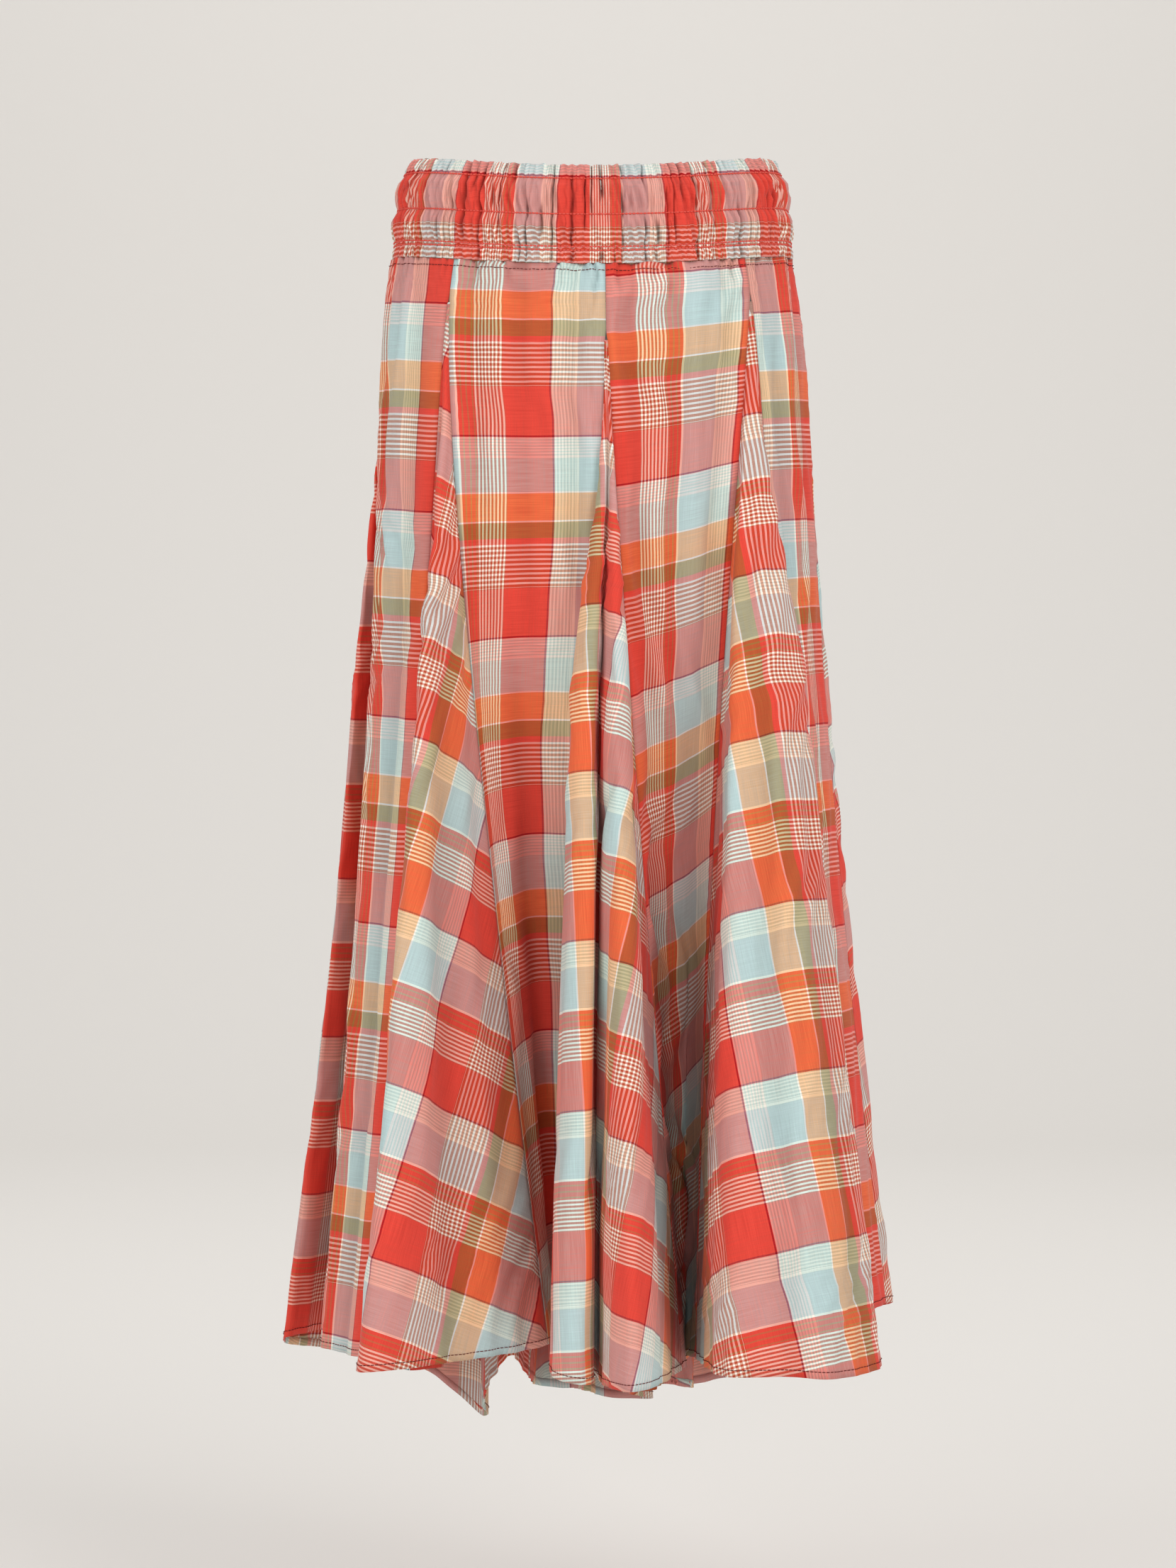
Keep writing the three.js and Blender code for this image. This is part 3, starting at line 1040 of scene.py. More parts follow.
    def flat_places(self, index: int, points: np.ndarray, places: np.ndarray) -> np.ndarray:
        """Each point's place in the flat cloth: along the warp, then along the weft.

        A panel is a straight strip. A godet is a wedge: a point's distance from the tip is measured
        down the cloth, and its angle in the wedge across it.

        Args:
            index: The piece's number.
            points: The surface, shaped (rows, columns, 3).
            places: Line numbers with fractions, shaped (columns,).

        Returns:
            Places in millimetres, shaped (rows, columns, 2).
        """
        piece = self.pieces[index]
        down = run_length(points, 0)
        run = run_length(points, 1)
        if isinstance(piece, Panel):
            middle = down.mean(axis=1, keepdims=True)
            shell = self.shell
            low = smooth_ramp(middle / shell.body_length, shell.lean_top, shell.lean_bottom)
            share = (run / np.maximum(run[:, -1:], TINY_WIDTH)).clip(0.0, 1.0)
            across = np.power(share, 1.0 + (piece.lean - 1.0) * low) * piece.flat_width
            slant = piece.warp_slant + piece.slant_growth * middle
            warp = middle * piece.ease + piece.warp_start + slant * across
            weft = piece.weft_start + piece.weft_sign * across
            return np.stack([warp, weft], axis=2)
        middle = (len(piece.lines) - 1) / 2.0
        angle = self.wedge_angle(piece.laid or ((0, 2 * middle, middle, 0.0),), places, down, run)
        warp = piece.warp_start + piece.warp_sign * down * np.sin(angle)
        weft = piece.weft_start + down * np.cos(angle)
        return np.stack([warp, weft], axis=2)

    def levels(self, index: int) -> np.ndarray:
        """Levels of a piece's rows, a little closer near the top.

        Args:
            index: The piece's number.

        Returns:
            Levels, shaped (rows,).
        """
        piece = self.pieces[index]
        godet = isinstance(piece, Godet)
        top = piece.tip if godet else 0.0
        rows = self.shell.godet_rows if godet else self.shell.panel_rows
        return top + (1.0 - top) * np.linspace(0.0, 1.0, rows) ** self.shell.row_power

    def grid(self, index: int) -> Grid:
        """The piece as a grid, with the narrow turning of the hem on the inside.

        Args:
            index: The piece's number.

        Returns:
            The sheet.
        """
        shell = self.shell
        gap = shell.panel_column_gap if isinstance(self.pieces[index], Panel) else shell.column_gap
        places = self.columns(index, gap)
        points, _, painted_shade = self.surface(index, self.levels(index), places)
        length = run_length(points, 0)[-1].mean()
        low = 1.0 - shell.hem_turn * np.array([1.0, 0.5, 0.0]) / length
        turn, normal, turn_painted_shade = self.surface(index, low, places)
        turn = (turn - normal * shell.hem_inset)[::-1]
        points = np.concatenate([points, turn])
        painted_shade = np.concatenate([painted_shade, turn_painted_shade[::-1]])
        return Grid(points, self.flat_places(index, points, places), painted_shade)

    def flat_size(self, index: int, grid: Grid) -> tuple[float, float, float]:
        """Flat cut of what shows of a piece: a strip for a panel, a sector for a godet.

        Args:
            index: The piece's number.
            grid: Its sheet.

        Returns:
            Width and length in metres, and area in square metres.
        """
        piece = self.pieces[index]
        rows = len(self.levels(index))
        down = run_length(grid.points[:rows], 0)[-1].mean() * MM
        length = down + self.shell.hem_turn * MM
        if isinstance(piece, Panel):
            return piece.flat_width * MM, length, piece.flat_width * MM * length
        arc = run_length(grid.points[rows - 1 : rows], 1)[0, -1] * MM
        half = arc / down / 2.0
        return 2.0 * length * math.sin(half), length, half * length**2

    def path(
        self,
        index: int,
        below_waist: float | None = None,
        above_hem: float | None = None,
        lift: float = 0.35,
    ) -> tuple[np.ndarray, np.ndarray]:
        """A line of places across a piece, level with its top or bottom edge, for a row of stitches.

        Args:
            index: The piece's number.
            below_waist: Distance below the waist seam in millimetres, or None.
            above_hem: Distance above the hem edge in millimetres, or None.
            lift: Height over the surface in millimetres.

        Returns:
            Its places and normals, each shaped (points, 3).
        """
        shell = self.shell
        length, step = shell.body_length, shell.near_level
        level = below_waist / length if above_hem is None else 1.0 - above_hem / length
        near = np.array([level - step, level, level + step]).clip(0.0, 1.0)
        points, normal, _ = self.surface(index, near, self.columns(index, shell.stitch_step))
        return points[1] + normal[1] * lift, normal[1]


# ---- Waistband ------------------------------------------------------------------------------
@dataclass(frozen=True)
class BandRow:
    """One row of the waistband.

    Attributes:
        height: Height at the sides in millimetres.
        half_width: Half the band's width there.
        gather: How far its gathers stand out.
    """

    height: float
    half_width: float
    gather: float


@dataclass(frozen=True)
class Drift:
    """A wandering value over the waistband.

    Attributes:
        seed: Its seed.
        size: Its usual size.
        along: Its usual wave along the waist in millimetres.
        down: The same down the band, or 0 if it doesn't change on the way down.
    """

    seed: int
    size: float
    along: float
    down: float = 0.0

    def at(self, arc: np.ndarray, height: Value) -> np.ndarray:
        """Its value at places on the band.

        Args:
            arc: Lengths along the waist in millimetres.
            height: Heights at the sides in millimetres.

        Returns:
            Values shaped as arc and height together, or as arc if it doesn't change downwards.
        """
        place = arc / self.along
        if self.down:
            place = place + height / self.down
        return self.size * wander(place, self.seed)


@dataclass(frozen=True)
class Waistband:
    """Half of the elastic waistband: a tube of cloth gathered by rows of stitches.

    Attributes:
        name: Its node.
        middle: Angle of its middle round the waist, in radians.
        form: The plain form, for the dip at the front.
        rows: Its table of rows from the top down.
        stitch_rows: Heights of the rows of stitches.
        gathers: Gathers in this half.
        half_round: Length of this half along the waist.
        arc_width: Half width of the ellipse along which lengths are measured.
        fullness: Length of the flat cloth over the gathered length.
        depth_less: How much less half the depth is than half the width.
        wall: From the outside of the cloth to its inside, across the elastic.
        thickness: Thickness of the cloth.
        column_gap, row_gap, least_row_gap: Spacing of the grid.
        side_gap: Angle in radians that each end stops short of the side seam.
        fine_steps: Places at which the waist, and one half of it, are measured.
        top: Height of the header's edge.
        header_turn, lining_rows: How far under it the inside ends, and rows of the inside.
        spacing: How the spacing of the gathers drifts, in gathers.
        ridge_power: Roundness of their ridges.
        fine_ratio, fine_share, fine_spacing: Number of finer gathers for each, their share, drift.
        swell, swell_middle, swell_least, swell_most: How the gathers' height changes.
        full_gather: Height from which the gathers count as full for their painted shade.
        crease_gap, crease_depth, crease_half_width: Spacing and size of the deep creases.
        crease_drift: How their spacing drifts, in creases.
        crease_turn, crease_sway, crease_wave, crease_sway_turn: What picks how far down each goes.
        crease_edge: Half the range over which a crease comes and goes.
        frill_low, frill_high: Heights between which the header's edge comes free.
        frill_out, frill_up, frill_lean: How it waves outwards and upwards, and how far it leans in.
        groove_power, groove_shade, crease_shade: How sharply painted shade sits in the grooves, and how
            strong it is there and in the deep creases.
        sway: How far the gathers shift the check up and down.
        flat_start, flat_height: Place in the flat cloth of the centre front, and of height 0.
        flat_tube: Height of the flat cloth for the outside, the header and the inside.
    """

    name: str
    middle: float
    form: FlaredForm
    rows: tuple[BandRow, ...] = (
        BandRow(34.2, 126.6, 2.0),
        BandRow(32.5, 127.8, 2.4),
        BandRow(28.5, 130.4, 2.2),
        BandRow(25.2, 131.8, 1.2),
        BandRow(24.0, 132.2, 0.4),
        BandRow(22.6, 132.8, 1.4),
        BandRow(18.5, 135.2, 2.7),
        BandRow(12.0, 136.6, 3.1),
        BandRow(5.0, 136.9, 2.8),
        BandRow(0.6, 137.0, 1.5),
        BandRow(-1.0, 137.0, 0.4),
        BandRow(-2.6, 137.6, 1.4),
        BandRow(-7.0, 139.2, 2.3),
        BandRow(-13.0, 139.8, 2.5),
        BandRow(-19.0, 139.6, 2.0),
        BandRow(-22.4, 139.4, 1.0),
        BandRow(-23.4, 139.3, 0.45),
        BandRow(-24.7, 139.4, 0.8),
        BandRow(-26.0, 139.3, 0.45),
        BandRow(-30.0, 140.2, 1.6),
        BandRow(-34.85, 140.9, 0.5),
    )
    stitch_rows: tuple[float, ...] = (24.0, -1.0, -23.4, -26.0)
    gathers: int = 72
    half_round: float = 382.0
    arc_width: float = 137.5
    fullness: float = 1.54
    depth_less: float = 41.0
    wall: float = 3.0
    thickness: float = 0.4
    column_gap: float = 0.58
    row_gap: float = 2.6
    least_row_gap: float = 0.25
    side_gap: float = 0.0015
    fine_steps: tuple[int, int] = (6001, 2001)
    top: float = 34.2
    header_turn: float = 1.4
    lining_rows: int = 10
    spacing: tuple[Drift, ...] = (
        Drift(3, 0.28, 23.0),
        Drift(4, 0.08, 9.0, 30.0),
        Drift(6, 0.1, 60.0, 16.0),
    )
    ridge_power: float = 0.75
    fine_ratio: float = 1.93
    fine_share: float = 0.2
    fine_spacing: Drift = Drift(8, 0.3, 7.0)
    swell: Drift = Drift(9, 0.5, 10.0, 40.0)
    swell_middle: float = 0.62
    swell_least: float = 0.15
    swell_most: float = 1.25
    full_gather: float = 1.5
    crease_gap: float = 7.2
    crease_depth: float = 3.0
    crease_half_width: float = 0.75
    crease_drift: tuple[Drift, ...] = (Drift(31, 0.22, 31.0), Drift(32, 0.05, 25.0, 22.0))
    crease_turn: float = 2.7
    crease_sway: float = 1.3
    crease_wave: float = 15.0
    crease_sway_turn: float = 2.1
    crease_edge: float = 0.5
    frill_low: float = 25.0
    frill_high: float = 35.0
    frill_out: Drift = Drift(21, 0.9, 9.0)
    frill_up: Drift = Drift(22, 0.4, 8.0)
    frill_lean: float = 0.3
    groove_power: float = 3.0
    groove_shade: float = 0.4
    crease_shade: float = 0.8
    sway: float = 1.3
    flat_start: float = 19.6
    flat_height: float = 78.5
    flat_tube: float = 140.0

    def place(self, angle: np.ndarray, height: Value, half_width: Value) -> np.ndarray:
        """Places on an ellipse of the band, lowered by the dip of the waist.

        Args:
            angle: Angles round the waist in radians.
            height: Heights at the sides in millimetres.
            half_width: Half the ellipse's width in millimetres.

        Returns:
            Places in millimetres, with x, y and z in the last axis.
        """
        x = half_width * np.sin(angle)
        y = -(half_width - self.depth_less) * np.cos(angle)
        return np.stack([x, y, height + self.form.dip(angle)], axis=-1)

    def arc(self, angle: Value) -> np.ndarray:
        """Length along the waist from the centre front, by summing fine steps of the ellipse.

        Args:
            angle: Angles round the waist in radians.

        Returns:
            Lengths in millimetres, shaped like the angles.
        """
        fine = np.linspace(-math.pi, 2.0 * math.pi, self.fine_steps[0])
        plan = self.place(fine, 0.0, self.arc_width)[:, :2]
        run = np.concatenate([[0.0], np.cumsum(np.linalg.norm(np.diff(plan, axis=0), axis=1))])
        return np.interp(angle, fine, run) - np.interp(0.0, fine, run)

    def angles(self) -> np.ndarray:
        """Angles of the columns, evenly spaced along the arc, short of the side seam at both ends.

        Returns:
            Angles in radians, shaped (columns,).
        """
        edge = math.pi / 2.0 - self.side_gap
        fine = np.linspace(self.middle - edge, self.middle + edge, self.fine_steps[1])
        run = self.arc(fine)
        count = int((run[-1] - run[0]) / self.column_gap)
        return np.interp(np.linspace(run[0], run[-1], count + 1), run, fine)

    def gathering(self, arc: np.ndarray, height: Value) -> np.ndarray:
        """Share of full height of the gathers, 0 in a groove and about 1 on a ridge.

        Ridges are round with sharp grooves between them: a power of a sine's size along the waist.
        Their spacing drifts, and drifts anew between two rows of stitches, and so does their height.

        Args:
            arc: Lengths along the waist in millimetres.
            height: Heights at the sides in millimetres.

        Returns:
            Shares, shaped as arc and height together.
        """
        pitch = self.half_round / self.gathers
        turn = arc / pitch + sum(drift.at(arc, height) for drift in self.spacing)
        ridge = np.abs(np.sin(np.pi * turn)) ** self.ridge_power
        fine_turn = turn * self.fine_ratio + self.fine_spacing.at(arc, height)
        fine = np.abs(np.sin(np.pi * fine_turn))
        swell = self.swell_middle + self.swell.at(arc, height)
        full = np.clip(swell, self.swell_least, self.swell_most)
        return full * ((1.0 - self.fine_share) * ridge + self.fine_share * fine)

    def deep_creases(self, arc: np.ndarray, height: Value) -> np.ndarray:
        """Depth of the deep creases: narrow bells that wander down the band and come and go.

        Args:
            arc: Lengths along the waist in millimetres.
            height: Heights at the sides in millimetres.

        Returns:
            Depths in millimetres, shaped as arc and height together.
        """
        turn = arc / self.crease_gap + sum(drift.at(arc, height) for drift in self.crease_drift)
        number = np.round(turn)
        off = (turn - number) * self.crease_gap
        sway = self.crease_sway * np.sin(height / self.crease_wave + self.crease_sway_turn * number)
        pick = np.sin(self.crease_turn * number + sway)
        shown = smooth_ramp(pick, -self.crease_edge, self.crease_edge)
        return self.crease_depth * shown * hump(off, 0.0, self.crease_half_width)

    def frill(self, arc: np.ndarray, height: np.ndarray) -> tuple[np.ndarray, np.ndarray]:
        """How far the free top edge waves, growing upwards from the top row of stitches.

        Args:
            arc: Lengths along the waist in millimetres.
            height: Heights at the sides in millimetres.

        Returns:
            How far it goes outwards and upwards in millimetres, each shaped as arc and height together.
        """
        free = smooth_ramp(height, self.frill_low, self.frill_high)
        out = self.frill_out.at(arc, height) - self.frill_lean
        return free * out, free * self.frill_up.at(arc, height)

    def read_table(self, height: Value) -> tuple[np.ndarray, np.ndarray]:
        """Half width of the band and height of its gathers, read between the rows of the table."""
        table = np.array([[row.height, row.half_width, row.gather] for row in self.rows])[::-1]
        return np.interp(height, table[:, 0], table[:, 1]), np.interp(height, table[:, 0], table[:, 2])

    def outside(self, height: np.ndarray, angle: np.ndarray) -> np.ndarray:
        """Places of the band's outside.

        Args:
            height: Heights at the sides in millimetres, shaped (rows, 1).
            angle: Angles round the waist in radians, shaped (columns,).

        Returns:
            Places shaped (rows, columns, 3).
        """
        half_width, gather = self.read_table(height)
        arc = self.arc(angle)[None, :]
        wave, rise = self.frill(arc, height)
        free = np.clip(gather, 0.0, 1.0)
        out = half_width + gather * self.gathering(arc, height) - free * self.deep_creases(arc, height)
        return self.place(angle[None, :], height + rise, out + wave)

    def grid(self) -> Grid:
        """The tube as one sheet: up the inside, over the header and down the outside to the seam.

        Returns:
            The sheet.
        """
        angle = self.angles()
        seam = self.rows[-1].height
        even = np.linspace(self.top, seam, int((self.top - seam) / self.row_gap))
        heights = np.unique(np.round(np.concatenate([even, [row.height for row in self.rows]]), 1))
        apart = np.diff(heights) > self.least_row_gap
        heights = heights[np.concatenate([[True], apart])][::-1, None]
        outer = self.outside(heights, angle)
        lining = np.linspace(seam, self.top - self.header_turn, self.lining_rows)[:, None]
        arc = self.arc(angle)[None, :]
        wave, rise = self.frill(arc, lining)
        inside = self.read_table(lining)[0] - self.wall + wave
        inner = self.place(angle[None, :], lining + rise, inside)
        gathering = self.gathering(arc, heights)
        lift = np.concatenate([np.zeros(inner.shape[:2]), self.sway * (gathering - 0.5)])
        down = np.concatenate([lining - 2.0 * self.top, -heights])
        warp = self.flat_height - down + lift
        weft = np.broadcast_to((self.flat_start - arc) * self.fullness, warp.shape)
        # Painted shade in the grooves and deep creases, stronger where the gathers stand out; the
        # material darkens the colour by it.
        free = np.clip(self.read_table(heights)[1] / self.full_gather, 0.0, 1.0)
        groove = self.groove_shade * (1.0 - gathering).clip(0.0, 1.0) ** self.groove_power
        crease = self.crease_shade * self.deep_creases(arc, heights) / self.crease_depth
        painted_shade = np.concatenate([np.zeros(inner.shape[:2]), free * (groove + crease)])
        return Grid(np.concatenate([inner, outer]), np.stack([warp, weft], axis=2), painted_shade)

    def flat_size(self) -> tuple[float, float]:
        """Width and length of the flat cloth of the tube, in metres."""
        arc = self.arc(self.angles())
        return (arc[-1] - arc[0]) * self.fullness * MM, self.flat_tube * MM

    def stitch_path(self, height: float, lift: float = 0.6) -> tuple[np.ndarray, np.ndarray]:
        """A row of stitches round the outside.

        Args:
            height: Its height at the sides in millimetres.
            lift: Height over the surface in millimetres.

        Returns:
            Its places and normals, each shaped (points, 3).
        """
        near = np.array([height + 0.5, height, height - 0.5])[:, None]
        points = self.outside(near, self.angles())
        normal = grid_normals(points)[1]
        return points[1] + normal * lift, normal


# ---- Stitches -------------------------------------------------------------------------------
# Rings of a stitch: share of its length, share of its radius, and height in millimetres.
SPINDLE = np.array([[0.0, 0.35, -0.25], [0.22, 1.0, 0.0], [0.78, 1.0, 0.0], [1.0, 0.35, -0.25]])


@dataclass(frozen=True)
class StitchRow:
    """Straight stitches of sewing thread along a path.

    Attributes:
        pitch: Length of a stitch and the hole after it.
        length: Length of the thread that shows.
        radius: Half the thread's thickness.
        sides: Sides of its rings.
    """

    pitch: float
    length: float
    radius: float
    sides: int = 6

    def mesh(self, points: np.ndarray, normals: np.ndarray) -> tuple[np.ndarray, np.ndarray]:
        """Vertices and faces of one row of stitches.

        Each stitch is a short spindle along the path: rings of a tube that thins to its ends,
        turned to the path's direction and the cloth's normal.

        Args:
            points: Places of the path, shaped (n, 3).
            normals: The cloth's normals there.

        Returns:
            Vertices shaped (m, 3) and faces shaped (k, 4).
        """
        run = np.concatenate([[0.0], np.cumsum(np.linalg.norm(np.diff(points, axis=0), axis=1))])
        count = max(1, int(run[-1] / self.pitch))
        starts = (np.arange(count) + 0.5 * (1.0 - self.length / self.pitch)) * run[-1] / count
        along, thick, sink = SPINDLE.T
        at = starts[:, None] + along[None, :] * self.length
        centre = np.stack([np.interp(at, run, points[:, k]) for k in range(3)], axis=2)
        up = np.stack([np.interp(at, run, normals[:, k]) for k in range(3)], axis=2)
        up /= np.linalg.norm(up, axis=2, keepdims=True)
        ahead = centre[:, -1:] - centre[:, :1]
        ahead = ahead / np.maximum(np.linalg.norm(ahead, axis=2, keepdims=True), TINY)
        side = np.cross(ahead, up)
        centre = centre + up * sink[None, :, None]
        turn = np.linspace(0.0, 2.0 * np.pi, self.sides, endpoint=False)[None, None, :, None]
        ring = np.cos(turn) * side[:, :, None] + np.sin(turn) * up[:, :, None]
        vertices = centre[:, :, None] + ring * (thick * self.radius)[None, :, None, None]
        index = np.arange(vertices[..., 0].size).reshape(vertices.shape[:3])
        nxt = np.roll(index, -1, axis=2)
        faces = np.stack([index[:, :-1], nxt[:, :-1], nxt[:, 1:], index[:, 1:]], axis=3)
        return vertices.reshape(-1, 3), faces.reshape(-1, 4)

    def to_object(
        self, name: str, paths: list[tuple[np.ndarray, np.ndarray]], material: bpy.types.Material
    ) -> bpy.types.Object:
        """Joins rows of stitches along several paths in one object.

        Args:
            name: The object's name.
            paths: Pairs of places and normals.
            material: The thread.

        Returns:
            The new object.
        """
        vertices, faces, base = [], [], 0
        for points, normals in paths:
            v, f = self.mesh(points, normals)
            vertices.append(v)
            faces.append(f + base)
            base += len(v)
        return mesh_object(name, np.concatenate(vertices) * MM, np.concatenate(faces), material)


# ---- Finishes -------------------------------------------------------------------------------
DISPLAY_WHITE = 255.0


def linear(red: float, green: float, blue: float) -> tuple:
    """Linear RGBA from display values, by the two parts of the sRGB curve.

    Args:
        red: Red, 0 to 255.
        green: Green, 0 to 255.
        blue: Blue, 0 to 255.

    Returns:
        Four values of 0 to 1.
    """
    srgb = np.array([red, green, blue]) / DISPLAY_WHITE
    low, high = srgb / 12.92, ((srgb + 0.055) / 1.055) ** 2.4
    return (*np.where(srgb <= 0.04045, low, high).tolist(), 1.0)


def shade(colour: tuple) -> tuple:
    """RGBA from display values of 0 to 255, left in display space."""
    return (*(part / DISPLAY_WHITE for part in colour), 1.0)


COLOUR_MIX_INPUTS = (0, 6, 7)  # sockets of a mix node for its factor and its two colours
COLOUR_MIX_OUTPUT = 2


class Graph:
    """Builds the node tree of one material."""

    def __init__(self, name: str) -> None:
        """Makes an empty material.

        Args:
            name: Its name.
        """
        self.material = bpy.data.materials.new(name)
        self.material.use_nodes = True
        self.tree = self.material.node_tree
        self.tree.nodes.clear()

    def node(self, kind: str, **settings: object) -> bpy.types.Node:
        """Adds a node.

        Args:
            kind: Its type.
            **settings: Its properties.

        Returns:
            The node.
        """
        made = self.tree.nodes.new(kind)
        for key, value in settings.items():
            setattr(made, key, value)
        return made

    def feed(self, socket: bpy.types.NodeSocket, value: object) -> None:
        """Links an output to a socket, or sets the socket to a constant.

        Args:
            socket: The input.
            value: An output of another node, or a constant.
        """
        if isinstance(value, bpy.types.NodeSocket):
            self.tree.links.new(value, socket)
        else:
            socket.default_value = value

    def math(self, operation: str, *values: object) -> bpy.types.NodeSocket:
        """Adds a math node.

        Args:
            operation: What it does.
            *values: Its inputs, outputs of nodes or constants.

        Returns:
            Its output.
        """
        made = self.node("ShaderNodeMath", operation=operation)
        for socket, value in zip(made.inputs, values):
            self.feed(socket, value)
        return made.outputs[0]

    def mix(self, factor: object, first: object, second: object) -> bpy.types.NodeSocket:
        """Adds a colour mix.

        Args:
            factor: Share of the second colour.
            first: The first colour.
            second: The second colour.

        Returns:
            Its output.
        """
        made = self.node("ShaderNodeMix", data_type="RGBA")
        for number, value in zip(COLOUR_MIX_INPUTS, (factor, first, second)):
            self.feed(made.inputs[number], value)
        return made.outputs[COLOUR_MIX_OUTPUT]

    def noise(
        self, vector: bpy.types.NodeSocket, scale: float, detail: float = 2.0
    ) -> bpy.types.NodeSocket:
        """Adds a noise texture.

        Args:
            vector: Where it is read.
            scale: Waves for each unit.
            detail: How many finer octaves.

        Returns:
            Its value, about 0 to 1.
        """
        made = self.node("ShaderNodeTexNoise")
        self.feed(made.inputs["Vector"], vector)
        made.inputs["Scale"].default_value = scale
        made.inputs["Detail"].default_value = detail
        return made.outputs["Fac"]

    def vector(self, x: object, y: object, z: object = 0.0) -> bpy.types.NodeSocket:
        """Joins three values to a vector.

        Args:
            x: First part.
            y: Second part.
            z: Third part.

        Returns:
            The vector.
        """
        made = self.node("ShaderNodeCombineXYZ")
        for socket, value in zip(made.inputs, (x, y, z)):
            self.feed(socket, value)
        return made.outputs[0]

    def within(self, value: object, low: float, high: float) -> bpy.types.NodeSocket:
        """1 where value lies between low and high, else 0."""
        above = self.math("GREATER_THAN", value, low)
        return self.math("MULTIPLY", above, self.math("LESS_THAN", value, high))

    def ramp(
        self, value: bpy.types.NodeSocket, stops: list[tuple[float, tuple]]
    ) -> bpy.types.NodeSocket:
        """Adds a stepped colour ramp.

        Args:
            value: Where it is read, 0 to 1.
            stops: Where each colour starts, from 0 to 1, and the colour.

        Returns:
            The colour.
        """
        made = self.node("ShaderNodeValToRGB")
        made.color_ramp.interpolation = "CONSTANT"
        elements = made.color_ramp.elements
        while len(elements) > 1:
            elements.remove(elements[-1])
        elements[0].position, elements[0].color = stops[0]
        for position, colour in stops[1:]:
            elements.new(position).color = colour
        self.feed(made.inputs[0], value)
        return made.outputs[0]

    def finish(self, settings: dict[str, object]) -> bpy.types.Material:
        """Adds the surface and the output.

        Args:
            settings: Inputs of the surface, each an output of a node or a constant.

        Returns:
            The finished material.
        """
        shader = self.node("ShaderNodeBsdfPrincipled")
        for key, value in settings.items():
            self.feed(shader.inputs[key], value)
        out = self.node("ShaderNodeOutputMaterial")
        self.feed(out.inputs["Surface"], shader.outputs[0])
        return self.material


@dataclass(frozen=True)
class Stripe:
    """A band of one colour of thread.

    Attributes:
        low: Where it starts in the repeat, in millimetres.
        colour: Display colour of its thread, 0 to 255.
    """

    low: float
    colour: tuple


@dataclass(frozen=True)
class Lines:
    """A group of thin lines of another colour of thread.

    Attributes:
        low, high: Where the group starts and ends in the repeat, in millimetres.
        pitch: From one line to the next.
        width: Width of a line.
        colour: Display colour of its thread, 0 to 255.
    """

    low: float
    high: float
    pitch: float
    width: float
    colour: tuple


WHITE = (255, 250, 238)
CREAM = (244, 238, 226)
CRIMSON = (128, 10, 30)


@dataclass(frozen=True)
class Threads:
    """Order of coloured threads in one direction of the cloth.

    Attributes:
        repeat: Length after which the order repeats, in millimetres.
        stripes: Its bands, from 0.
        lines: Its groups of thin lines.
    """

    repeat: float
    stripes: tuple[Stripe, ...]
    lines: tuple[Lines, ...]

    def colour(self, graph: Graph, value: bpy.types.NodeSocket) -> bpy.types.NodeSocket:
        """Display colour of the threads at a place across them.

        Args:
            graph: The material's graph.
            value: The place in millimetres.

        Returns:
            The colour.
        """
        place = graph.math("FLOORED_MODULO", value, self.repeat)
        share = graph.math("DIVIDE", place, self.repeat)
        colour = graph.ramp(share, [(one.low / self.repeat, shade(one.colour)) for one in self.stripes])
        for group in self.lines:
            phase = graph.math("MODULO", graph.math("SUBTRACT", place, group.low), group.pitch)
            line_here = graph.math("LESS_THAN", phase, group.width)
            here = graph.math("MULTIPLY", graph.within(place, group.low, group.high), line_here)
            colour = graph.mix(here, colour, shade(group.colour))
        return colour


# Threads that lie across the warp's length are counted along it, and the other way round.
ALONG_WARP = Threads(
    repeat=145.0,
    stripes=(
        Stripe(0.0, (246, 167, 95)),
        Stripe(20.6, (154, 132, 66)),
        Stripe(32.1, (232, 100, 82)),
        Stripe(36.6, (190, 94, 58)),
        Stripe(68.0, (232, 100, 82)),
        Stripe(104.5, (190, 220, 210)),
        Stripe(119.9, (188, 226, 220)),
    ),
    lines=(
        Lines(19.6, 20.7, 2.0, 1.1, WHITE),
        Lines(36.6, 68.0, 3.45, 1.5, WHITE),
        Lines(103.4, 104.5, 2.0, 1.1, CRIMSON),
        Lines(104.9, 117.5, 2.15, 1.15, CREAM),
        Lines(117.9, 119.6, 4.0, 1.7, CREAM),
        Lines(143.9, 145.0, 2.0, 1.1, WHITE),
    ),
)
ALONG_WEFT = Threads(
    repeat=114.0,
    stripes=(
        Stripe(0.0, (222, 46, 38)),
        Stripe(12.4, (188, 62, 46)),
        Stripe(33.4, (222, 46, 38)),
        Stripe(67.5, (192, 198, 192)),
        Stripe(84.7, (182, 192, 200)),
    ),
    lines=(
        Lines(2.4, 11.8, 4.0, 1.1, (170, 92, 52)),
        Lines(12.4, 33.4, 2.8, 1.3, WHITE),
        Lines(66.4, 67.5, 2.0, 1.1, CRIMSON),
        Lines(68.2, 82.6, 2.3, 1.1, CREAM),
        Lines(83.0, 84.8, 4.0, 1.8, CREAM),
        Lines(112.4, 114.0, 2.0, 1.6, WHITE),
    ),
)


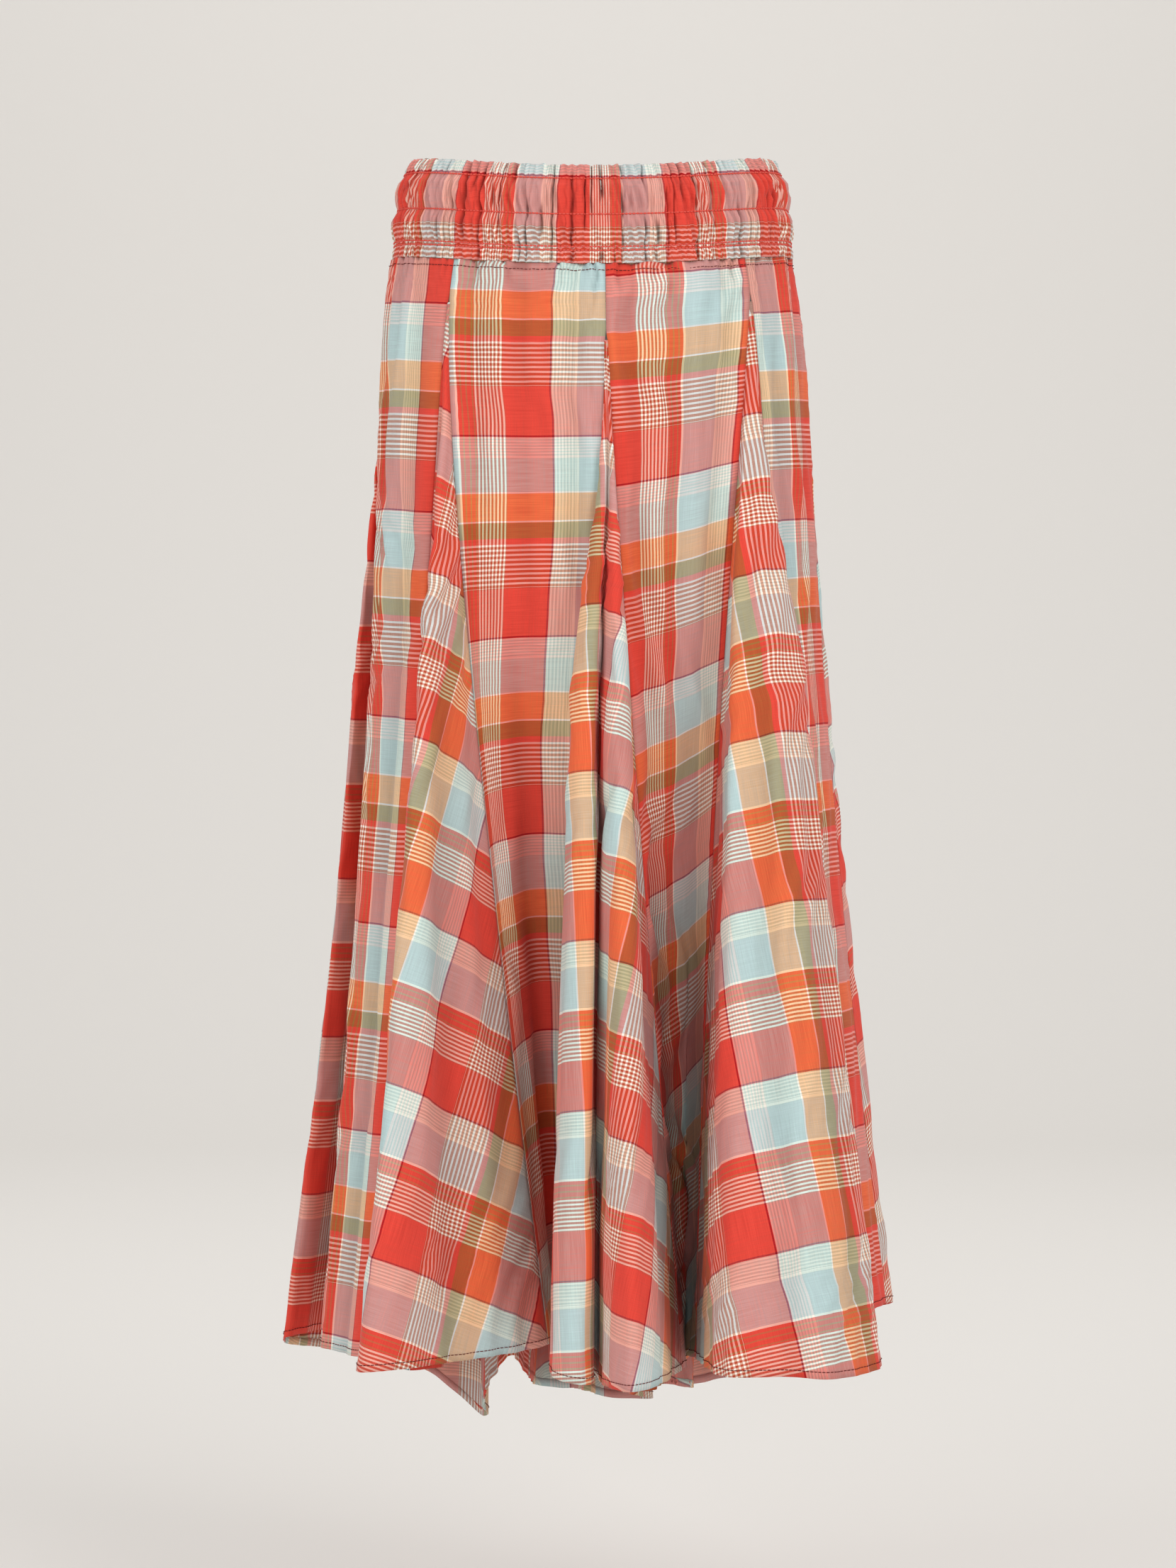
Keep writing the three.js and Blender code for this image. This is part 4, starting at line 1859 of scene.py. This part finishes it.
@dataclass(frozen=True)
class Madras:
    """Plain woven cotton in a madras check.

    Where threads of two colours cross, the eye sees their middle, so the colour is the even mix of
    the two directions' display colours, turned to linear light by a gamma curve.

    Attributes:
        name: The material's name.
        along_warp, along_weft: Orders of the threads met along the warp and along the weft.
        gamma: Power of the curve.
        wobble, wobble_scale: Range in millimetres in which the check's edges wander, and waves a metre.
        painted_shade_strength: How much darker the colour is painted where the painted shade is full.
        slub_along, slub_across: Waves of the slubs for each millimetre, along and across a thread.
        slub_lead: How much a slub of one direction shows over the other direction.
        dull, slub_light: Brightness where no slub is, and how much two slubs add.
        slub_height: Height of a slub in the bump, over that of the weave.
        weave: Waves of the weave for each millimetre.
        bump, bump_depth: Strength of the bump, and its depth in metres.
        roughness, specular, sheen, sheen_roughness: Settings of the surface.
    """

    name: str
    along_warp: Threads = ALONG_WARP
    along_weft: Threads = ALONG_WEFT
    gamma: float = 2.2
    wobble: float = 1.6
    wobble_scale: float = 14.0
    painted_shade_strength: float = 0.62
    slub_along: float = 0.035
    slub_across: float = 1.5
    slub_lead: float = 0.22
    dull: float = 0.7
    slub_light: float = 0.3
    slub_height: float = 0.8
    weave: float = 2.2
    bump: float = 0.35
    bump_depth: float = 0.00025
    roughness: float = 0.85
    specular: float = 0.2
    sheen: float = 0.12
    sheen_roughness: float = 0.5

    @staticmethod
    def grain(
        graph: Graph, warp: bpy.types.NodeSocket, weft: bpy.types.NodeSocket, along: float, across: float
    ) -> bpy.types.NodeSocket:
        """Noise stretched along the threads.

        Args:
            graph: The material's graph.
            warp: Place along the warp in millimetres.
            weft: Place along the weft in millimetres.
            along: Waves for each millimetre of warp.
            across: Waves for each millimetre of weft.

        Returns:
            Its value, about 0 to 1.
        """
        place = graph.vector(graph.math("MULTIPLY", warp, along), graph.math("MULTIPLY", weft, across))
        return graph.noise(place, 1.0)

    def build(self) -> bpy.types.Material:
        """Makes the material: the check, with slubs in both directions, painted shade in folds and a fine
        weave.

        Returns:
            The material.
        """
        graph = Graph(self.name)
        uv = graph.node("ShaderNodeUVMap", uv_map=CHECK_MAP)
        parts = graph.node("ShaderNodeSeparateXYZ")
        graph.feed(parts.inputs[0], uv.outputs[0])
        warp = graph.math("MULTIPLY", parts.outputs[0], 1.0 / MM)
        weft = graph.math("MULTIPLY", parts.outputs[1], 1.0 / MM)
        noise = graph.noise(uv.outputs[0], self.wobble_scale)
        drift = graph.math("MULTIPLY", graph.math("SUBTRACT", noise, 0.5), self.wobble)
        down = self.along_warp.colour(graph, graph.math("ADD", warp, drift))
        across = self.along_weft.colour(graph, graph.math("SUBTRACT", weft, drift))
        warp_slub = self.grain(graph, warp, weft, self.slub_along, self.slub_across)
        weft_slub = self.grain(graph, warp, weft, self.slub_across, self.slub_along)
        slub = graph.math("ADD", warp_slub, weft_slub)
        lead = graph.math("MULTIPLY", graph.math("SUBTRACT", warp_slub, weft_slub), self.slub_lead)
        mixed = graph.mix(graph.math("ADD", 0.5, lead), down, across)
        colour = graph.node("ShaderNodeGamma")
        graph.feed(colour.inputs[0], mixed)
        graph.feed(colour.inputs[1], self.gamma)
        value = graph.math("ADD", self.dull, graph.math("MULTIPLY", slub, self.slub_light))
        # Painted shade: the colour is darkened where the per-point painted shade is set.
        painted_shade = graph.node("ShaderNodeAttribute", attribute_name=SHADE_ATTRIBUTE).outputs["Fac"]
        lit = graph.math("SUBTRACT", 1.0, graph.math("MULTIPLY", painted_shade, self.painted_shade_strength))
        slub_tone_and_painted_shade = graph.node("ShaderNodeHueSaturation")
        graph.feed(slub_tone_and_painted_shade.inputs["Color"], colour.outputs[0])
        graph.feed(slub_tone_and_painted_shade.inputs["Value"], graph.math("MULTIPLY", value, lit))
        weave = self.grain(graph, warp, weft, self.weave, self.weave)
        height = graph.math("ADD", graph.math("MULTIPLY", slub, self.slub_height), weave)
        bump = graph.node("ShaderNodeBump")
        graph.feed(bump.inputs["Strength"], self.bump)
        graph.feed(bump.inputs["Distance"], self.bump_depth)
        graph.feed(bump.inputs["Height"], height)
        return graph.finish(
            {
                "Base Color": slub_tone_and_painted_shade.outputs[0],
                "Roughness": self.roughness,
                "Specular IOR Level": self.specular,
                "Sheen Weight": self.sheen,
                "Sheen Roughness": self.sheen_roughness,
                "Normal": bump.outputs[0],
            }
        )


@dataclass(frozen=True)
class PlainFinish:
    """One even matt colour.

    Attributes:
        name: The material's name.
        colour: Its display colour, 0 to 255.
        roughness, specular: Settings of the surface.
    """

    name: str
    colour: tuple
    roughness: float = 0.8
    specular: float = 0.2

    def build(self) -> bpy.types.Material:
        """Makes the material.

        Returns:
            The material.
        """
        return Graph(self.name).finish(
            {
                "Base Color": linear(*self.colour),
                "Roughness": self.roughness,
                "Specular IOR Level": self.specular,
            }
        )


# ---- Putting the skirt together -------------------------------------------------------------
@dataclass
class Skirt:
    """The whole skirt as shown: its body, waistband and stitching.

    Attributes:
        body: The panels and godets.
        cloth: The checked cotton.
        red_thread, dark_thread: Threads of the waistband, and of the waist seam and the hem.
        gathering_row, edge_row: Their stitches.
        hem_stitch, waist_stitch: Distances of their rows from the hem and from the waist seam.
    """

    body: SkirtBody = field(default_factory=SkirtBody)
    cloth: Madras = Madras("madras_cotton")
    red_thread: PlainFinish = PlainFinish("red_thread", (226, 92, 80))
    dark_thread: PlainFinish = PlainFinish("dark_thread", (104, 38, 36))
    gathering_row: StitchRow = StitchRow(pitch=2.6, length=2.35, radius=0.55)
    edge_row: StitchRow = StitchRow(pitch=2.9, length=2.5, radius=0.28)
    hem_stitch: float = 4.6
    waist_stitch: float = 4.6

    @staticmethod
    def place(obj: bpy.types.Object, slot: Slot, *nodes: str) -> None:
        """Fixes a piece to the skirt and names the solids that it stands for.

        Args:
            obj: The piece.
            slot: Its material slot, which is only named in the log.
            *nodes: Nodes that it takes the place of, none for stitches.
        """
        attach(obj, "root")
        if nodes:
            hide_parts(*nodes)
        LOG.info("%s, of %s, in place of %s", obj.name, slot.value, ", ".join(nodes) or "no solid")

    def build_body(self, material: bpy.types.Material) -> None:
        """Makes the panels and godets.

        Args:
            material: The checked cotton.
        """
        for index, piece in enumerate(self.body.pieces):
            grid = self.body.grid(index)
            obj = grid.to_object(f"cloth_{piece.name}", self.body.shell.thickness, material)
            slot = Slot.PANEL if isinstance(piece, Panel) else Slot.GODET
            self.place(obj, slot, piece.name)
            width, length, area = self.body.flat_size(index, grid)
            piece.hangs_from()
            sizes = (piece.name, width / MM, length / MM, grid.area(), area)
            LOG.info("%s: %d by %d mm, shown %.4f of %.4f m2", *sizes)

    def build_waistband(self, material: bpy.types.Material) -> list[Waistband]:
        """Makes both halves of the waistband.

        Args:
            material: The checked cotton.

        Returns:
            The two halves, for their rows of stitches.
        """
        form = self.body.form
        bands = [Waistband("waistband_front", 0.0, form), Waistband("waistband_back", math.pi, form)]
        for band in bands:
            grid = band.grid()
            obj = grid.to_object(f"cloth_{band.name}", band.thickness, material)
            self.place(obj, Slot.WAISTBAND, band.name)
            width, length = band.flat_size()
            LOG.info("%s: %d by %d mm, shown %.4f m2", band.name, width / MM, length / MM, grid.area())
        return bands

    def build_stitches(self, bands: list[Waistband]) -> None:
        """Makes the rows of stitches.

        Args:
            bands: The halves of the waistband.
        """
        body = self.body
        numbers = range(len(body.pieces))
        red, dark = self.red_thread.build(), self.dark_thread.build()
        hem = [body.path(i, above_hem=self.hem_stitch) for i in numbers]
        self.place(self.edge_row.to_object("hem_stitches", hem, dark), Slot.THREAD)
        panels = [i for i in numbers if isinstance(body.pieces[i], Panel)]
        top = [body.path(i, below_waist=self.waist_stitch) for i in panels]
        self.place(self.edge_row.to_object("waist_topstitches", top, dark), Slot.THREAD)
        rows = [band.stitch_path(height) for band in bands for height in band.stitch_rows]
        self.place(self.gathering_row.to_object("gathering_stitches", rows, red), Slot.THREAD)

    def build(self) -> None:
        """Makes everything, in order."""
        material = self.cloth.build()
        self.build_body(material)
        bands = self.build_waistband(material)
        self.build_stitches(bands)


# ---- Studio ---------------------------------------------------------------------------------
@dataclass(frozen=True)
class SoftLight:
    """A square soft light that faces a place.

    Attributes:
        name: Its name.
        place, target: Where it stands and where it faces, in metres.
        size: Its side in metres.
        power: Its power in watts.
    """

    name: str
    place: tuple
    target: tuple
    size: float
    power: float

    def build(self) -> None:
        """Makes the light."""
        data = bpy.data.lights.new(self.name, "AREA")
        data.size = self.size
        data.energy = self.power
        obj = bpy.data.objects.new(self.name, data)
        obj.location = self.place
        towards = Vector(self.target) - Vector(self.place)
        obj.rotation_euler = towards.to_track_quat("-Z", "Y").to_euler()
        bpy.context.scene.collection.objects.link(obj)


@dataclass(frozen=True)
class Studio:
    """Pale floor and backdrop, soft light and the camera. Sizes are in metres.

    Attributes:
        paper: Finish of the floor and the backdrop.
        floor_height: Height of the floor.
        backdrop: How far behind the skirt the backdrop stands.
        curve, curve_steps: Radius and steps of the curve between both.
        reach: How far the paper goes to every other side.
        camera_place: Where the camera stands.
        frame_height: Height that the camera takes in at the skirt's middle plane.
        sensor: Side of the camera's sensor in millimetres.
        lights: The soft lights.
        sky, sky_strength: Colour and strength of the even light from all round.
    """

    paper: PlainFinish = PlainFinish("studio_paper", (242, 239, 235), 0.95)
    floor_height: float = -1.02
    backdrop: float = 6.0
    curve: float = 1.8
    curve_steps: int = 16
    reach: float = 9.0
    camera_place: tuple = (-0.00325, -3.0, -0.404)
    frame_height: float = 1.106
    sensor: float = 36.0
    lights: tuple[SoftLight, ...] = (
        SoftLight("key", (1.9, -2.6, 1.1), (0.0, 0.0, -0.4), 2.0, 50.0),
        SoftLight("fill", (-2.3, -2.4, 0.6), (0.0, 0.0, -0.4), 2.2, 38.0),
        SoftLight("top", (0.0, 0.6, 2.4), (0.0, 0.6, -1.0), 3.0, 25.0),
        SoftLight("backdrop", (0.0, 2.6, 3.2), (0.0, 6.0, -0.2), 3.0, 56.0),
    )
    sky: tuple = (1.0, 0.985, 0.965, 1.0)
    sky_strength: float = 0.42

    def build_paper(self) -> None:
        """Makes the floor, which curves up behind into the backdrop."""
        turn = np.linspace(0.0, math.pi / 2.0, self.curve_steps)
        flat, radius = self.backdrop - self.curve, self.curve
        y = np.concatenate([[-self.reach], flat + radius * np.sin(turn), [self.backdrop]])
        z = np.concatenate([[0.0], radius - radius * np.cos(turn), [self.reach]]) + self.floor_height
        x = np.array([-self.reach, self.reach])
        points = np.stack(np.broadcast_arrays(x[None, :], y[:, None], z[:, None]), axis=2)
        index = np.arange(points[..., 0].size).reshape(points.shape[:2])
        quads = np.stack([index[:-1, :-1], index[:-1, 1:], index[1:, 1:], index[1:, :-1]], axis=2)
        obj = mesh_object("studio_paper", points.reshape(-1, 3), quads.reshape(-1, 4), self.paper.build())

    def build_light(self) -> None:
        """Makes the even light from all round and the soft lights."""
        world = bpy.data.worlds.new("studio")
        world.use_nodes = True
        background = world.node_tree.nodes["Background"]
        background.inputs["Color"].default_value = self.sky
        background.inputs["Strength"].default_value = self.sky_strength
        bpy.context.scene.world = world
        for light in self.lights:
            light.build()

    def build_camera(self) -> None:
        """Makes the camera, level and square to the front."""
        data = bpy.data.cameras.new("camera")
        data.sensor_width = self.sensor
        data.lens = self.sensor * -self.camera_place[1] / self.frame_height
        obj = bpy.data.objects.new("camera", data)
        obj.location = self.camera_place
        obj.rotation_euler = (math.pi / 2.0, 0.0, 0.0)
        bpy.context.scene.collection.objects.link(obj)
        bpy.context.scene.camera = obj

    def build(self) -> None:
        """Makes paper, lights and camera, and sets the view to show colours as they are."""
        self.build_paper()
        self.build_light()
        self.build_camera()
        bpy.context.scene.view_settings.view_transform = "Standard"


def main() -> None:
    """Builds the skirt and the studio."""
    logging.basicConfig(level=logging.INFO, format="%(message)s")
    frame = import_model()
    LOG.info("solids in the frame: %d", len(frame["nodes"]))
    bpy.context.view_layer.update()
    Skirt().build()
    Studio().build()
    bpy.context.view_layer.update()


if __name__ == "__main__":
    main()
